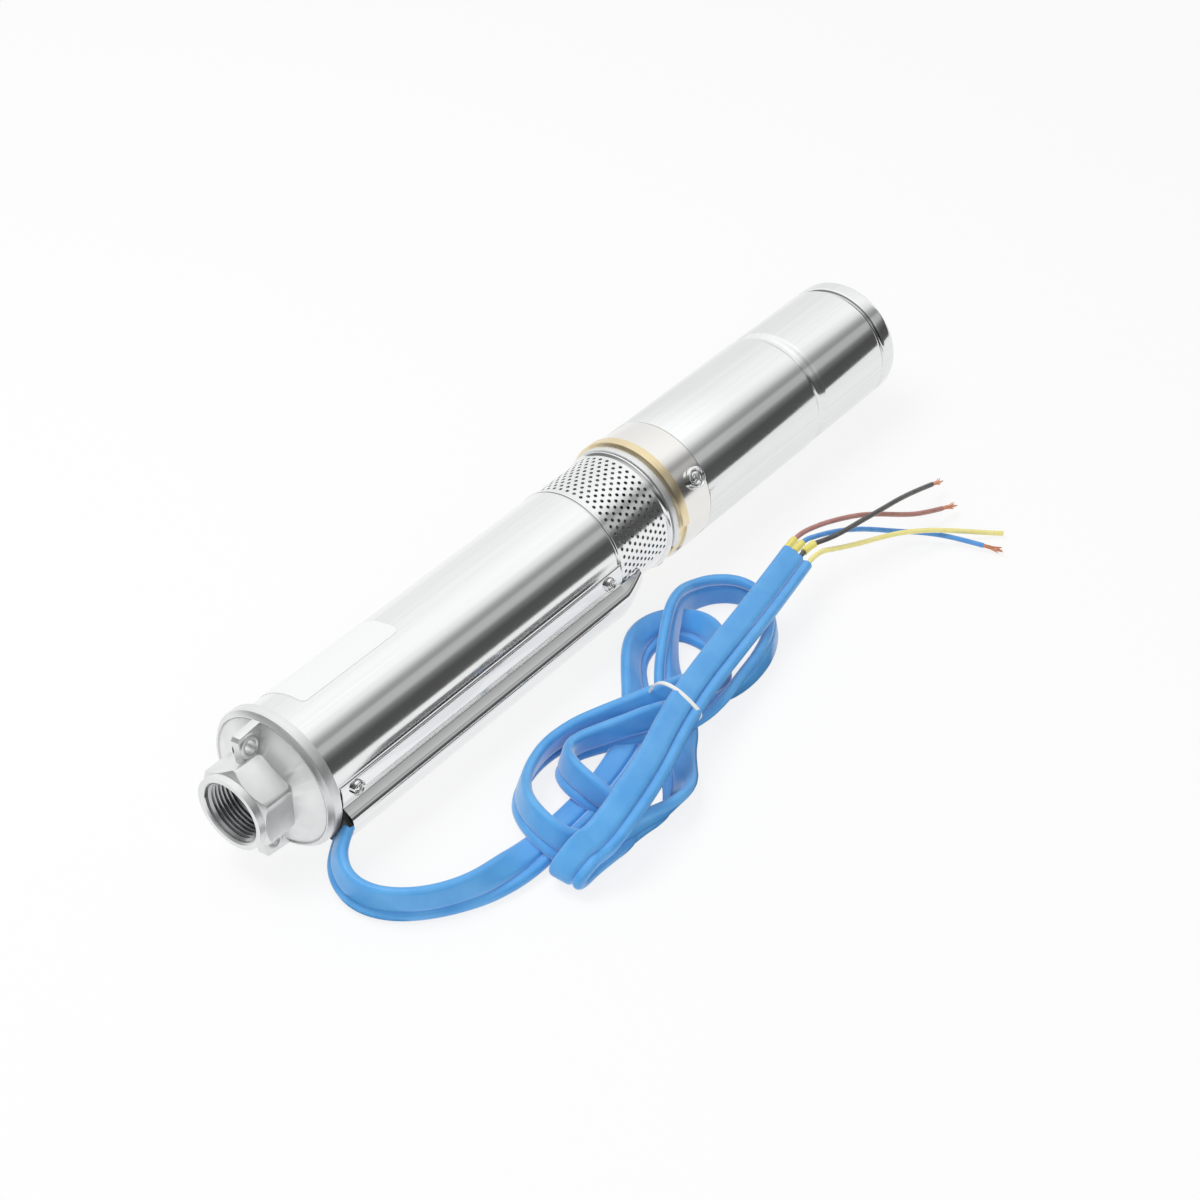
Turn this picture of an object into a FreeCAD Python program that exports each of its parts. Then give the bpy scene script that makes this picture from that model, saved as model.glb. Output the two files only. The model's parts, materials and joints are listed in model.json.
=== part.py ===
import FreeCAD, Part
import math
import os
from FreeCAD import Vector

# Borehole submersible pump lying on its side: outlet towards -X, motor towards +X.
# Lengths are in millimetres. A station is a distance along the pump axis from the front
# edge of the head's rim, and radii are measured from the pump axis.

# Pump tube
tube_radius = 35.0
tube_wall = 1.0
tube_length = 219.5
tube_bead_height = 0.25
tube_bead_width = 1.8

# Discharge head and its outlet
rim_height = 3.5
rim_width = 4.5
rim_chamfer_depth = 2.5
rim_chamfer_height = 2.8
head_spigot_length = 24.0
outlet_reach = 31.8
outlet_thread_radius = 16.625
outlet_thread_length = 20.0
outlet_mouth_chamfer = 1.0
collar_radius = 20.2
collar_length = 3.8
hex_flats = 41.0
hex_rear_station = -9.5
throat_radius = 15.2
ear_turn = -9.0
ear_thickness = 5.0
ear_below_rim = 2.1
ear_front_station = -18.6
ear_hole_station = -12.4
ear_hole_from_axis = 28.0
ear_hole_radius = 3.5

# Check valve inside the head
head_spigot_wall = 4.45
valve_seat_station = 10.0
valve_seat_thickness = 6.0
valve_port_radius = 15.0
valve_disc_radius = 18.0
valve_disc_thickness = 4.0
valve_stem_radius = 3.0
valve_hub_radius = 5.0
valve_hub_length = 8.0
valve_travel = 5.5
valve_seal_thickness = 1.2

# Hydraulic stages
stage_count = 4
stage_pitch = 32.0
stage_wall = 1.8
return_vane_count = 5
return_vane_height = 9.0
partition_thickness = 3.0
impeller_side_gap = 4.15
impeller_eye_radius = 13.0
impeller_hub_radius = 8.0
impeller_vane_count = 5
impeller_vane_height = 8.0
impeller_shroud = 2.0
impeller_gap = 1.5
vane_thickness = 1.8

# Shafts and coupling
shaft_hex_flats = 10.0
journal_radius = 6.2
top_bush_radius = 9.0
top_bush_length = 12.0
coupling_radius = 10.5
coupling_length = 32.0
motor_shaft_radius = 8.0
motor_journal_radius = 6.0

# Inlet bracket and strainer
bracket_spigot_length = 24.0
bracket_land = 2.5
rib_count = 3
rib_thickness = 6.0
rib_depth = 8.95
bracket_spigot_wall = 5.95
inlet_ring_height = 1.6
inlet_ring_width = 4.3
inlet_flange_depth = 4.6
coupling_port_radius = 17.0
bolt_circle_inset = 8.35
bolt_radius = 2.0
bolt_head_radius = 3.6
bolt_head_height = 4.0
bolt_thread_length = 5.0
strainer_step = 0.4
strainer_wall = 0.6
strainer_length = 40.2
strainer_bead_height = 1.4
strainer_bead_width = 2.9
strainer_rows = 5
strainer_holes_around = 24
strainer_hole_width = 3.0
strainer_edge = 3.2

# Motor
brass_ring_height = 1.65
brass_ring_width = 6.6
motor_radius = 36.6
motor_tail_step = 0.5
motor_wall = 1.2
collar_band_length = 21.8
upper_shell_length = 104.1
groove_width = 8.8
groove_depth = 1.7
tail_shell_length = 57.8
end_cap_length = 14.0
end_cap_round = 3.0
end_cap_depth = 13.0
end_cap_neck = 5.2
end_cap_recess = 1.5
diaphragm_length = 20.0
diaphragm_wall = 1.5
diaphragm_rim = 3.0
bearing_width = 9.0
upper_bearing_radius = 14.0
lower_bearing_radius = 13.0
stator_bore_radius = 17.7
winding_length = 11.0
winding_height = 11.3
rotor_core_radius = 14.0
rotor_air_gap = 0.6
motor_spigot_length = 37.5

# Cable guard, its screws and the flat cable
guard_turn = 119.0
guard_wall = 0.8
guard_start = 8.0
guard_short_of_tube = 2.2
guard_flange_width = 12.9
channel_base_half = 13.0
channel_top_half = 9.4
channel_height = 7.4
channel_crown_height = 2.6
hood_reach = 14.5
hood_drop = 5.2
guard_screw_from_end = 10.0
guard_screw_radius = 2.0
guard_screw_head_radius = 3.9
guard_screw_head_height = 2.2
motor_screw_count = 2
motor_screw_turn = 55.8
motor_screw_radius = 2.5
motor_screw_head_radius = 6.2
motor_screw_head_height = 2.6
grommet_start = 5.2
grommet_length = 9.0
cable_width = 19.0
cable_thickness = 5.8
cable_chamfer = 1.7
lead_dip_before = 5.0
lead_dip_after = 11.0
core_radius = 1.6
strand_radius = 1.0
sleeve_radius = 2.05
sleeve_length = 8.0
core_spacing = 4.2
core_straight = 13.0
earth_offset = 6.6
first_core = -7.4
strand_length = 12.0
brass_notch_half_angle = 33.0

# Clearances
slip_fit = 0.05
shaft_fit = 0.06
face_gap = 0.3
cable_clearance = 0.6
notch_floor = 3.2
window_depth = 2.4
screw_clearance = 0.1
end_turn_gap = 1.4

# Stations that follow from the sizes above
outlet_mouth = -outlet_reach
hex_front = outlet_mouth + collar_length
thread_end = outlet_mouth + outlet_thread_length
tube_start = rim_width
tube_end = tube_start + tube_length
tube_bore = tube_radius - tube_wall
insert_radius = tube_bore - slip_fit
rim_radius = tube_radius + rim_height
ear_outer_radius = rim_radius - ear_below_rim
valve_chamber_radius = insert_radius - head_spigot_wall
impeller_radius = insert_radius - stage_wall - impeller_side_gap
bracket_bore = insert_radius - bracket_spigot_wall
rib_inner_radius = insert_radius - rib_depth - 1
strainer_radius = tube_radius - strainer_step
strainer_bead_radius = strainer_radius + strainer_bead_height
inlet_ring_radius = tube_radius + inlet_ring_height
brass_ring_radius = motor_radius + brass_ring_height
motor_tail_radius = motor_radius - motor_tail_step
guard_end = tube_end - guard_short_of_tube
hood_end = tube_end + hood_reach
channel_shoulder = tube_radius + channel_height
channel_crown = channel_shoulder + channel_crown_height
lead_dip_start = tube_end - lead_dip_before
lead_dip_end = tube_end + lead_dip_after
head_end = head_spigot_length
spigot_front = tube_end - bracket_spigot_length
stack_start = spigot_front - stage_count * stage_pitch
strainer_start = tube_end + face_gap
strainer_end = strainer_start + strainer_length + strainer_bead_width
inlet_ring_start = strainer_end + 0.2
bracket_end = inlet_ring_start + inlet_ring_width
brass_ring_end = bracket_end + brass_ring_width
band_end = brass_ring_end + collar_band_length
groove_start = band_end + upper_shell_length
groove_end = groove_start + groove_width
shell_end = groove_end + tail_shell_length
pump_end = shell_end + end_cap_length
motor_bore = motor_radius - motor_wall
motor_insert = motor_bore - slip_fit
motor_spigot_end = brass_ring_end + motor_spigot_length
bolt_circle = motor_insert - bolt_circle_inset
stator_first = motor_spigot_end + winding_length + 1
lower_plate_start = groove_start - 4
stator_length = lower_plate_start - end_turn_gap - winding_length - stator_first
cable_angle = 90.0 + guard_turn
lead_height = tube_radius + face_gap + cable_thickness / 2
lead_top_half = cable_width / 2 - cable_chamfer
strainer_bore = strainer_radius - strainer_wall - face_gap
lead_top_radius = min(strainer_bore, motor_insert - cable_clearance)
lead_top = math.sqrt(lead_top_radius ** 2 - lead_top_half ** 2)
inner_lead_height = lead_top - cable_thickness / 2
guard_flange_radius = tube_radius + slip_fit + guard_wall

# The part's origin is under the middle of the pump, on the surface that it lies on.
channel_reach = math.hypot(channel_top_half, channel_shoulder)
channel_corner_angle = math.radians(cable_angle) - math.atan2(channel_top_half, channel_shoulder)
guard_side = -channel_reach * math.cos(channel_corner_angle)
middle = Vector((outlet_mouth + pump_end) / 2, (rim_radius - guard_side) / 2, -rim_radius)

os.makedirs("parts", exist_ok=True)


def save(name, shape):
    """Write one sub-part in the part's own frame, and report its solids and volume."""
    placed = shape.copy()
    placed.translate(-middle)
    placed.exportStep("parts/" + name + ".step")
    print(name, "solids", len(placed.Solids), "volume", round(placed.Volume, 1))


def save_cord(name, shape):
    """Write a cord or a piece on it, which is already in the part's own frame."""
    shape.exportStep("parts/" + name + ".step")
    print(name, "solids", len(shape.Solids), "volume", round(shape.Volume, 1))


def turned(start, *steps):
    """Turn a closed outline about the pump axis. A step is (station, radius) for a line,
    or (station, radius, station, radius) for an arc by way of its middle point."""
    first = Vector(start[0], start[1], 0)
    here = first
    edges = []
    for step in steps:
        there = Vector(step[-2], step[-1], 0)
        if len(step) == 2:
            edges.append(Part.LineSegment(here, there).toShape())
        else:
            middle_point = Vector(step[0], step[1], 0)
            edges.append(Part.Arc(here, middle_point, there).toShape())
        here = there
    edges.append(Part.LineSegment(here, first).toShape())
    face = Part.Face(Part.Wire(edges))
    return face.revolve(Vector(0, 0, 0), Vector(1, 0, 0), 360)


def ring(start, end, outer, inner=0.0):
    """A round bar or tube along the pump axis."""
    bar = Part.makeCylinder(outer, end - start, Vector(start, 0, 0), Vector(1, 0, 0))
    if inner > 0:
        hole = Part.makeCylinder(inner, end - start, Vector(start, 0, 0), Vector(1, 0, 0))
        bar = bar.cut(hole)
    return bar


def hex_bar(start, end, flats, turn=0.0):
    """A hexagonal bar along the pump axis, with a corner pointing up."""
    corner = flats / math.sqrt(3)
    points = []
    for k in range(6):
        angle = math.radians(30 + 60 * k + turn)
        points.append(Vector(start, corner * math.cos(angle), corner * math.sin(angle)))
    points.append(points[0])
    return Part.Face(Part.makePolygon(points)).extrude(Vector(end - start, 0, 0))


def upright_bar(start, end, half_width, low, high):
    """A straight bar along the axis that stands over it between two heights."""
    corner = Vector(start, -half_width, low)
    return Part.makeBox(end - start, 2 * half_width, high - low, corner)


def spun(shape, angle):
    """A copy turned about the pump axis, from upright towards the guard for plus."""
    copy = shape.copy()
    copy.rotate(Vector(0, 0, 0), Vector(1, 0, 0), angle)
    return copy


def spun_set(shape, count, first=0.0):
    return [spun(shape, first + 360.0 * k / count) for k in range(count)]


def radial_hole(station, angle, radius, low, high):
    """A round bar that points out from the axis at one angle."""
    hole = Part.makeCylinder(radius, high - low, Vector(station, 0, low), Vector(0, 0, 1))
    return spun(hole, angle)


def pan_screw(station, angle, seat, head_radius, head_height, shank_radius, shank_end):
    """A pan-head screw that points at the axis, its head seated at one radius."""
    shank = Part.makeCylinder(shank_radius, seat - shank_end + 0.1, Vector(0, 0, shank_end))
    side = head_height * 0.45
    head = Part.makeCylinder(head_radius, side, Vector(0, 0, seat))
    rise = head_height - side
    crown = Part.makeCone(head_radius, head_radius * 0.6, rise, Vector(0, 0, seat + side))
    screw = head.fuse([crown, shank]).removeSplitter()
    screw.translate(Vector(station, 0, 0))
    return spun(screw, angle)


def curved_vane(station, height, inner, outer, sweep, lean=0.0):
    """A blade of even thickness that sweeps round from an inner to an outer radius."""
    def rim_point(radius, share, side):
        angle = math.radians(sweep * share) + side * vane_thickness / 2 / radius
        return Vector(station, radius * math.cos(angle), radius * math.sin(angle))
    middle_radius = (inner + outer) / 2
    front = [rim_point(inner, 0, 1), rim_point(middle_radius, 0.42, 1), rim_point(outer, 1, 1)]
    back = [rim_point(outer, 1, -1), rim_point(middle_radius, 0.42, -1), rim_point(inner, 0, -1)]
    edges = [
        Part.Arc(*front).toShape(),
        Part.LineSegment(front[2], back[0]).toShape(),
        Part.Arc(*back).toShape(),
        Part.LineSegment(back[2], front[0]).toShape(),
    ]
    blade = Part.Face(Part.Wire(edges)).extrude(Vector(height, 0, 0))
    return spun(blade, lean)


def channel_face(station, inset=0.0, drop=0.0):
    """Cross-section of the guard's channel, upright, with sloping sides and a crowned top."""
    foot = channel_base_half - inset
    fold = math.sqrt(guard_flange_radius ** 2 - channel_base_half ** 2)
    base = tube_radius - 5
    top = channel_top_half - inset
    shoulder = channel_shoulder - inset * 0.6 - drop * 0.8
    crown = channel_crown - inset - drop
    points = [(-foot, base), (-foot, fold), (-top, shoulder), (top, shoulder), (foot, fold),
              (foot, base)]
    at = [Vector(station, across, height) for across, height in points]
    edges = [
        Part.LineSegment(at[0], at[1]).toShape(),
        Part.LineSegment(at[1], at[2]).toShape(),
        Part.Arc(at[2], Vector(station, 0, crown), at[3]).toShape(),
        Part.LineSegment(at[3], at[4]).toShape(),
        Part.LineSegment(at[4], at[5]).toShape(),
        Part.LineSegment(at[5], at[0]).toShape(),
    ]
    return Part.Wire(edges)


def channel_bar(start, end, inset=0.0):
    face = Part.Face(channel_face(start, inset))
    return face.extrude(Vector(end - start, 0, 0))


def cable_section(chamfer):
    """Outline of the flat cable about the origin: width along Y, thickness along Z."""
    half = cable_width / 2
    thin = cable_thickness / 2
    corners = [(-half, -thin + chamfer), (-half, thin - chamfer), (-half + chamfer, thin),
               (half - chamfer, thin), (half, thin - chamfer), (half, -thin + chamfer),
               (half - chamfer, -thin), (-half + chamfer, -thin)]
    points = [Vector(0, across, up) for across, up in corners]
    points.append(points[0])
    return Part.makePolygon(points)


def head_body():
    """Turned casting from the outlet collar over the cone and rim to the spigot."""
    rim_front = rim_radius - rim_chamfer_height
    return turned(
        (outlet_mouth, 0), (outlet_mouth, collar_radius), (hex_rear_station, collar_radius),
        (hex_rear_station, hex_flats / 2 + 1.5), (-rim_chamfer_depth - 0.6, rim_front - 1.2),
        (-rim_chamfer_depth, rim_front), (-rim_chamfer_depth * 0.35, rim_radius - 0.8),
        (0, rim_radius), (rim_width, rim_radius), (rim_width, insert_radius), (head_end - 1, insert_radius),
        (head_end, insert_radius - 1), (head_end, 0))


def head_hexagon():
    """Spanner hexagon with its corners turned down at both ends."""
    corner = hex_flats / math.sqrt(3)
    limit = turned(
        (hex_front, 0), (hex_front, collar_radius + 0.4), (hex_front + 2.2, corner - 0.5),
        (hex_rear_station - 1.2, corner - 0.5), (hex_rear_station + 3, corner - 3),
        (hex_rear_station + 3, 0))
    return hex_bar(hex_front, hex_rear_station + 3, hex_flats).common(limit)


def lifting_ear():
    """Upright plate from the rim to the hexagon."""
    base = hex_flats / 2 - 2
    outline = [(0.5, base), (0.5, ear_outer_radius - 2.5), (-2.2, ear_outer_radius),
               (ear_front_station + 1.5, ear_outer_radius - 1.3),
               (ear_front_station, ear_outer_radius - 3), (ear_front_station, base)]
    points = [Vector(station, -ear_thickness / 2, height) for station, height in outline]
    points.append(points[0])
    plate = Part.Face(Part.makePolygon(points)).extrude(Vector(0, ear_thickness, 0))
    return plate


def ear_hole():
    start = Vector(ear_hole_station, -ear_thickness, ear_hole_from_axis)
    return Part.makeCylinder(ear_hole_radius, 2 * ear_thickness, start, Vector(0, 1, 0))


def head_bore():
    """Outlet thread's wall, throat and valve chamber, cut out of the casting as one."""
    mouth = outlet_thread_radius + outlet_mouth_chamfer
    return turned(
        (outlet_mouth - 1, 0), (outlet_mouth - 1, mouth), (outlet_mouth, mouth),
        (outlet_mouth + outlet_mouth_chamfer, outlet_thread_radius),
        (thread_end, outlet_thread_radius), (thread_end, throat_radius),
        (thread_end + 2, throat_radius), (0, valve_chamber_radius - 3.5),
        (valve_seat_station, valve_chamber_radius - 3.5),
        (valve_seat_station, valve_chamber_radius), (head_end + 1, valve_chamber_radius),
        (head_end + 1, 0))


def discharge_head():
    ear = lifting_ear()
    hole = ear_hole()
    body = head_body().fuse([head_hexagon(), spun(ear, ear_turn), spun(ear, ear_turn + 180)])
    body = body.cut([head_bore(), spun(hole, ear_turn), spun(hole, ear_turn + 180)])
    for angle in guard_screw_angles():
        body = body.cut(radial_hole(guard_screw_stations()[0], angle, guard_screw_radius,
                                    valve_chamber_radius + 0.9, rim_radius))
    return body.removeSplitter()


def valve_seat():
    """Ported seat with a three-armed guide for the poppet's stem."""
    outer = valve_chamber_radius - slip_fit
    start = valve_seat_station
    seat = ring(start, start + valve_seat_thickness, outer, valve_port_radius)
    arm = upright_bar(start + 2, start + valve_seat_thickness, 2, valve_hub_radius - 1,
                      valve_port_radius + 2)
    hub = ring(start + 1, start + valve_hub_length, valve_hub_radius)
    seat = seat.fuse(spun_set(arm, 3) + [hub])
    return seat.cut(ring(start, start + 20, valve_stem_radius + shaft_fit)).removeSplitter()


def valve_poppet():
    """Disc, stem and retaining collar that slide together in the seat's guide."""
    back = valve_seat_station - valve_seal_thickness
    front = back - valve_disc_thickness
    disc = turned((front, 0), (front, valve_disc_radius - 3), (back - 1.5, valve_disc_radius),
                  (back, valve_disc_radius), (back, 0))
    collar_start = valve_seat_station + valve_hub_length + valve_travel + face_gap
    stem = ring(back - 1, collar_start + 3, valve_stem_radius)
    collar = ring(collar_start, collar_start + 2.4, valve_hub_radius - 0.5)
    return disc.fuse([stem, collar]).removeSplitter()


def valve_seal():
    back = valve_seat_station - valve_seal_thickness
    return ring(back, valve_seat_station - slip_fit, valve_disc_radius - 0.3, valve_port_radius - 2)


def pump_tube():
    """Thin tube with a rolled bead at the strainer end."""
    bead = tube_end - tube_bead_width
    tube = turned(
        (tube_start, tube_bore), (tube_start, tube_radius), (bead, tube_radius),
        (bead + tube_bead_width / 2, tube_radius + tube_bead_height), (tube_end, tube_radius),
        (tube_end, tube_bore))
    holes = []
    for station in guard_screw_stations():
        for angle in guard_screw_angles():
            holes.append(radial_hole(station, angle, guard_screw_radius + screw_clearance,
                                     tube_bore - 2, tube_radius + 2))
    return tube.cut(holes).cut(tube_notch())


def top_bearing():
    """Spacer tube against the head with a three-armed hub for the shaft's bush."""
    start = head_end
    wall = ring(start, stack_start, insert_radius, insert_radius - stage_wall)
    hub_start = stack_start - top_bush_length - 6
    hub_end = hub_start + top_bush_length
    arm = upright_bar(hub_start, hub_end, 2, top_bush_radius + 1, insert_radius - 1)
    hub = ring(hub_start, hub_end, top_bush_radius + 3)
    body = wall.fuse([hub] + spun_set(arm, 3, 30))
    return body.cut(ring(hub_start - 1, hub_end + 1, top_bush_radius)).removeSplitter()


def top_bush():
    start = stack_start - top_bush_length - 6
    return ring(start, start + top_bush_length, top_bush_radius - slip_fit, journal_radius + shaft_fit)


def diffuser(front):
    """Stage bowl: outer wall, and a partition held by return vanes."""
    wall = ring(front, front + stage_pitch, insert_radius, insert_radius - stage_wall)
    partition_start = front + return_vane_height
    partition_end = partition_start + partition_thickness
    partition = ring(partition_start, partition_end, impeller_radius + 0.5, impeller_hub_radius + 1)
    vane = curved_vane(front + 0.3, return_vane_height + 0.2, impeller_eye_radius + 1,
                       insert_radius - stage_wall / 2, 48)
    return wall.fuse([partition] + spun_set(vane, return_vane_count)).removeSplitter()


def impeller(front):
    """Closed impeller: two shrouds with swept blades between them on a keyed hub."""
    back = front + return_vane_height + partition_thickness + impeller_gap
    blades = back + impeller_shroud
    shroud = blades + impeller_vane_height
    end = shroud + impeller_shroud
    hub = ring(front + 1, front + 1 + stage_pitch, impeller_hub_radius)
    back_disc = ring(back, blades, impeller_radius)
    front_disc = ring(shroud, end, impeller_radius, impeller_eye_radius)
    vane = curved_vane(blades - 0.1, impeller_vane_height + 0.2, impeller_hub_radius + 2,
                       impeller_radius - 0.5, -72)
    wheel = back_disc.fuse([hub, front_disc] + spun_set(vane, impeller_vane_count, 20))
    socket = hex_bar(front, front + stage_pitch + 2, shaft_hex_flats + 2 * shaft_fit)
    return wheel.cut(socket).removeSplitter()


def pump_shaft():
    """Hexagonal shaft with a round journal at the discharge end."""
    journal_end = stack_start - 2
    start = stack_start - top_bush_length - 8
    journal = ring(start, journal_end, journal_radius)
    hexagon = hex_bar(journal_end - 0.5, coupling_start() + coupling_length / 2 - 1, shaft_hex_flats)
    return journal.fuse(hexagon)


def coupling_start():
    return tube_end + 4


def coupling():
    start = coupling_start()
    body = turned((start, 0), (start, coupling_radius - 1), (start + 1, coupling_radius),
                  (start + coupling_length - 1, coupling_radius),
                  (start + coupling_length, coupling_radius - 1), (start + coupling_length, 0))
    return body.cut(hex_bar(start - 1, start + coupling_length + 1, shaft_hex_flats + 2 * shaft_fit))


def cable_notch(start, end):
    """Room for the flat cable where it runs inside the strainer's outline."""
    half = cable_width / 2 + cable_clearance
    low = inner_lead_height - cable_thickness / 2 - cable_clearance
    return spun(upright_bar(start, end, half, low, brass_ring_radius + 4), guard_turn)


def tube_notch():
    """Cut-back of the tube's end under the guard, where the cable starts to dip."""
    start = lead_dip_start - 7
    half = cable_width / 2 + cable_clearance
    low = insert_radius - notch_floor
    return spun(upright_bar(start, tube_end + bracket_land, half, low, brass_ring_radius), guard_turn)


def bracket_bolt_angles():
    """The bolts sit in pairs, clear of the ribs and of the cable."""
    return [guard_turn + 100, guard_turn + 140, guard_turn + 220, guard_turn + 260]


def inlet_bracket():
    """Casting that joins pump to motor: spigot, ribs with open windows, and a flange."""
    flange_start = inlet_ring_start - inlet_flange_depth
    spigot = ring(spigot_front, tube_end + bracket_land, insert_radius, bracket_bore)
    flange = turned(
        (flange_start, coupling_port_radius), (flange_start, insert_radius),
        (inlet_ring_start, insert_radius), (inlet_ring_start, inlet_ring_radius),
        (bracket_end, inlet_ring_radius), (bracket_end, coupling_port_radius))
    rib = upright_bar(tube_end + bracket_land - 1, flange_start + 1, rib_thickness / 2,
                      rib_inner_radius, insert_radius - 1)
    ribs = spun_set(rib, rib_count, guard_turn + 60)
    root = ring(tube_end - 2, tube_end + bracket_land, bracket_bore + 2, rib_inner_radius)
    body = spigot.fuse([flange, root] + ribs)
    body = body.cut([tube_notch(), cable_notch(tube_end + bracket_land, bracket_end + 1)])
    for angle in bracket_bolt_angles():
        body = body.cut(bolt_bar(flange_start - 1, bracket_end + 1, bolt_radius + screw_clearance, angle))
    for angle in guard_screw_angles():
        body = body.cut(radial_hole(guard_screw_stations()[1], angle, guard_screw_radius,
                                    bracket_bore + 1, rim_radius))
    return body.removeSplitter()


def bolt_bar(start, end, radius, angle):
    """A round bar on the circle of the bracket's bolts."""
    bar = Part.makeCylinder(radius, end - start, Vector(start, 0, bolt_circle), Vector(1, 0, 0))
    return spun(bar, angle)


def bracket_bolts():
    """Cap screws that hold the inlet bracket to the motor."""
    flange_start = inlet_ring_start - inlet_flange_depth
    bolts = []
    for angle in bracket_bolt_angles():
        head = bolt_bar(flange_start - bolt_head_height, flange_start, bolt_head_radius, angle)
        shank = bolt_bar(flange_start - 1, bracket_end + bolt_thread_length, bolt_radius, angle)
        bolts.append(head.fuse(shank).removeSplitter())
    return Part.makeCompound(bolts)


def strainer():
    """Perforated sheet with a rolled bead, and a window where the cable dives under it."""
    inner = strainer_radius - strainer_wall
    sheet_end = strainer_start + strainer_length
    sheet = turned(
        (strainer_start, inner), (strainer_start, strainer_radius), (sheet_end, strainer_radius),
        (sheet_end + strainer_bead_width * 0.3, strainer_bead_radius),
        (strainer_end - strainer_bead_width * 0.3, strainer_bead_radius),
        (strainer_end, strainer_radius), (strainer_end, inner))
    hole = upright_bar(0, strainer_hole_width, strainer_hole_width / 2, inner - 1, strainer_radius + 1)
    pitch = (strainer_length - 4) / strainer_rows
    step = 360.0 / strainer_holes_around
    bare_half = math.degrees((cable_width / 2 + strainer_hole_width / 2) / strainer_radius)
    holes = []
    for row in range(strainer_rows):
        station = strainer_start + strainer_edge + row * pitch
        for k in range(strainer_holes_around):
            angle = (k + 0.5 * (row % 2)) * step
            if abs(angle - guard_turn) > bare_half:
                copy = spun(hole, angle)
                copy.translate(Vector(station, 0, 0))
                holes.append(copy)
    half = cable_width / 2 + cable_clearance
    window = upright_bar(strainer_start - 1, hood_end, half, inner - window_depth, strainer_radius + 1)
    return sheet.cut(Part.makeCompound(holes)).cut(spun(window, guard_turn))


def brass_notch():
    """Sector of the brass ring that is cut back for the cable."""
    low = motor_radius - motor_wall - slip_fit
    sector = ring(bracket_end - 1, brass_ring_end + 1, brass_ring_radius + 2, low)
    far = 60.0
    half = brass_notch_half_angle
    left = Vector(0, -far * math.tan(math.radians(half)), far)
    right = Vector(0, far * math.tan(math.radians(half)), far)
    wedge = Part.Face(Part.makePolygon([Vector(0, 0, 0), left, right, Vector(0, 0, 0)]))
    wedge = wedge.extrude(Vector(brass_ring_end + 10, 0, 0))
    return spun(sector.common(wedge), guard_turn)


def motor_bracket():
    """Brass upper end of the motor: ring, spigot, bearing seat and cable pocket."""
    chamfer = 1.2
    body = turned(
        (bracket_end, 0), (bracket_end, brass_ring_radius - chamfer),
        (bracket_end + chamfer, brass_ring_radius), (brass_ring_end, brass_ring_radius),
        (brass_ring_end, motor_insert), (motor_spigot_end, motor_insert), (motor_spigot_end, 0))
    bearing = upper_bearing_start()
    bore = turned(
        (bracket_end - 1, 0), (bracket_end - 1, seal_radius() + slip_fit),
        (bearing - 3, seal_radius() + slip_fit), (bearing - 3, motor_journal_radius + 1),
        (bearing, motor_journal_radius + 1), (bearing, upper_bearing_radius + slip_fit),
        (motor_spigot_end + 1, upper_bearing_radius + slip_fit), (motor_spigot_end + 1, 0))
    relief = ring(bearing + bearing_width, motor_spigot_end + 1, motor_insert - 5)
    pocket = spun(upright_bar(bracket_end - 1, cable_end() + slip_fit,
                              cable_width / 2 + slip_fit,
                              inner_lead_height - cable_thickness / 2 - slip_fit,
                              inner_lead_height + cable_thickness / 2 + slip_fit), guard_turn)
    body = body.cut([bore, relief, pocket, brass_notch()])
    for angle in bracket_bolt_angles():
        body = body.cut(bolt_bar(bracket_end - 1, bracket_end + bolt_thread_length + 2, bolt_radius, angle))
    for angle in motor_screw_angles():
        body = body.cut(radial_hole(motor_screw_station(), angle, motor_screw_radius,
                                    motor_screw_end() - 1, brass_ring_radius))
    return body.removeSplitter()


def upper_bearing_start():
    return band_end - 2


def lower_bearing_start():
    return lower_plate_start + 3


def seal_radius():
    return 11.0


def cable_end():
    return brass_ring_end + 6


def motor_collar():
    """Brushed steel band over the bracket's spigot, drilled for the radial screws."""
    band = ring(brass_ring_end, band_end - face_gap / 2, motor_radius + 0.1, motor_bore)
    holes = [radial_hole(motor_screw_station(), angle, motor_screw_radius + screw_clearance,
                         motor_bore - 2, brass_ring_radius)
             for angle in motor_screw_angles()]
    return band.cut(holes)


def motor_shell():
    """Drawn tube with a rolled groove over the lower bearing plate, rolled in at its end."""
    groove_middle = groove_start + groove_width * 0.4
    step = motor_radius - motor_tail_radius
    low = motor_radius - groove_depth - step
    lip = 2.0
    tail_bore = motor_tail_radius - motor_wall
    return turned(
        (band_end, motor_bore), (band_end, motor_radius), (groove_start, motor_radius),
        (groove_start + 2, low + 0.4), (groove_middle, low), (groove_middle + 2, low + 0.2),
        (groove_end, motor_tail_radius), (shell_end - 3, motor_tail_radius),
        (shell_end - 0.8, motor_tail_radius - 0.8), (shell_end, motor_tail_radius - lip),
        (shell_end, motor_tail_radius - lip - 1.2), (shell_end - 3.2, tail_bore),
        (groove_end + 0.3, tail_bore), (groove_middle + 2, low + 0.2 - motor_wall),
        (groove_middle, low - motor_wall), (groove_start + 1.8, low + 0.4 - motor_wall),
        (groove_start - 0.3, motor_bore))


def lower_bearing_plate():
    """Plate held by the rolled groove, with the lower bearing's seat."""
    outer = motor_tail_radius - groove_depth - motor_wall - slip_fit
    start = lower_plate_start
    seat = lower_bearing_radius + slip_fit
    seat_start = lower_bearing_start()
    seat_end = seat_start + bearing_width + 1
    end = seat_end + 3
    return turned(
        (start, motor_journal_radius + 1), (start, outer), (end, outer), (end, 0), (seat_end, 0),
        (seat_end, seat), (seat_start, seat), (seat_start, motor_journal_radius + 1))


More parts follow.
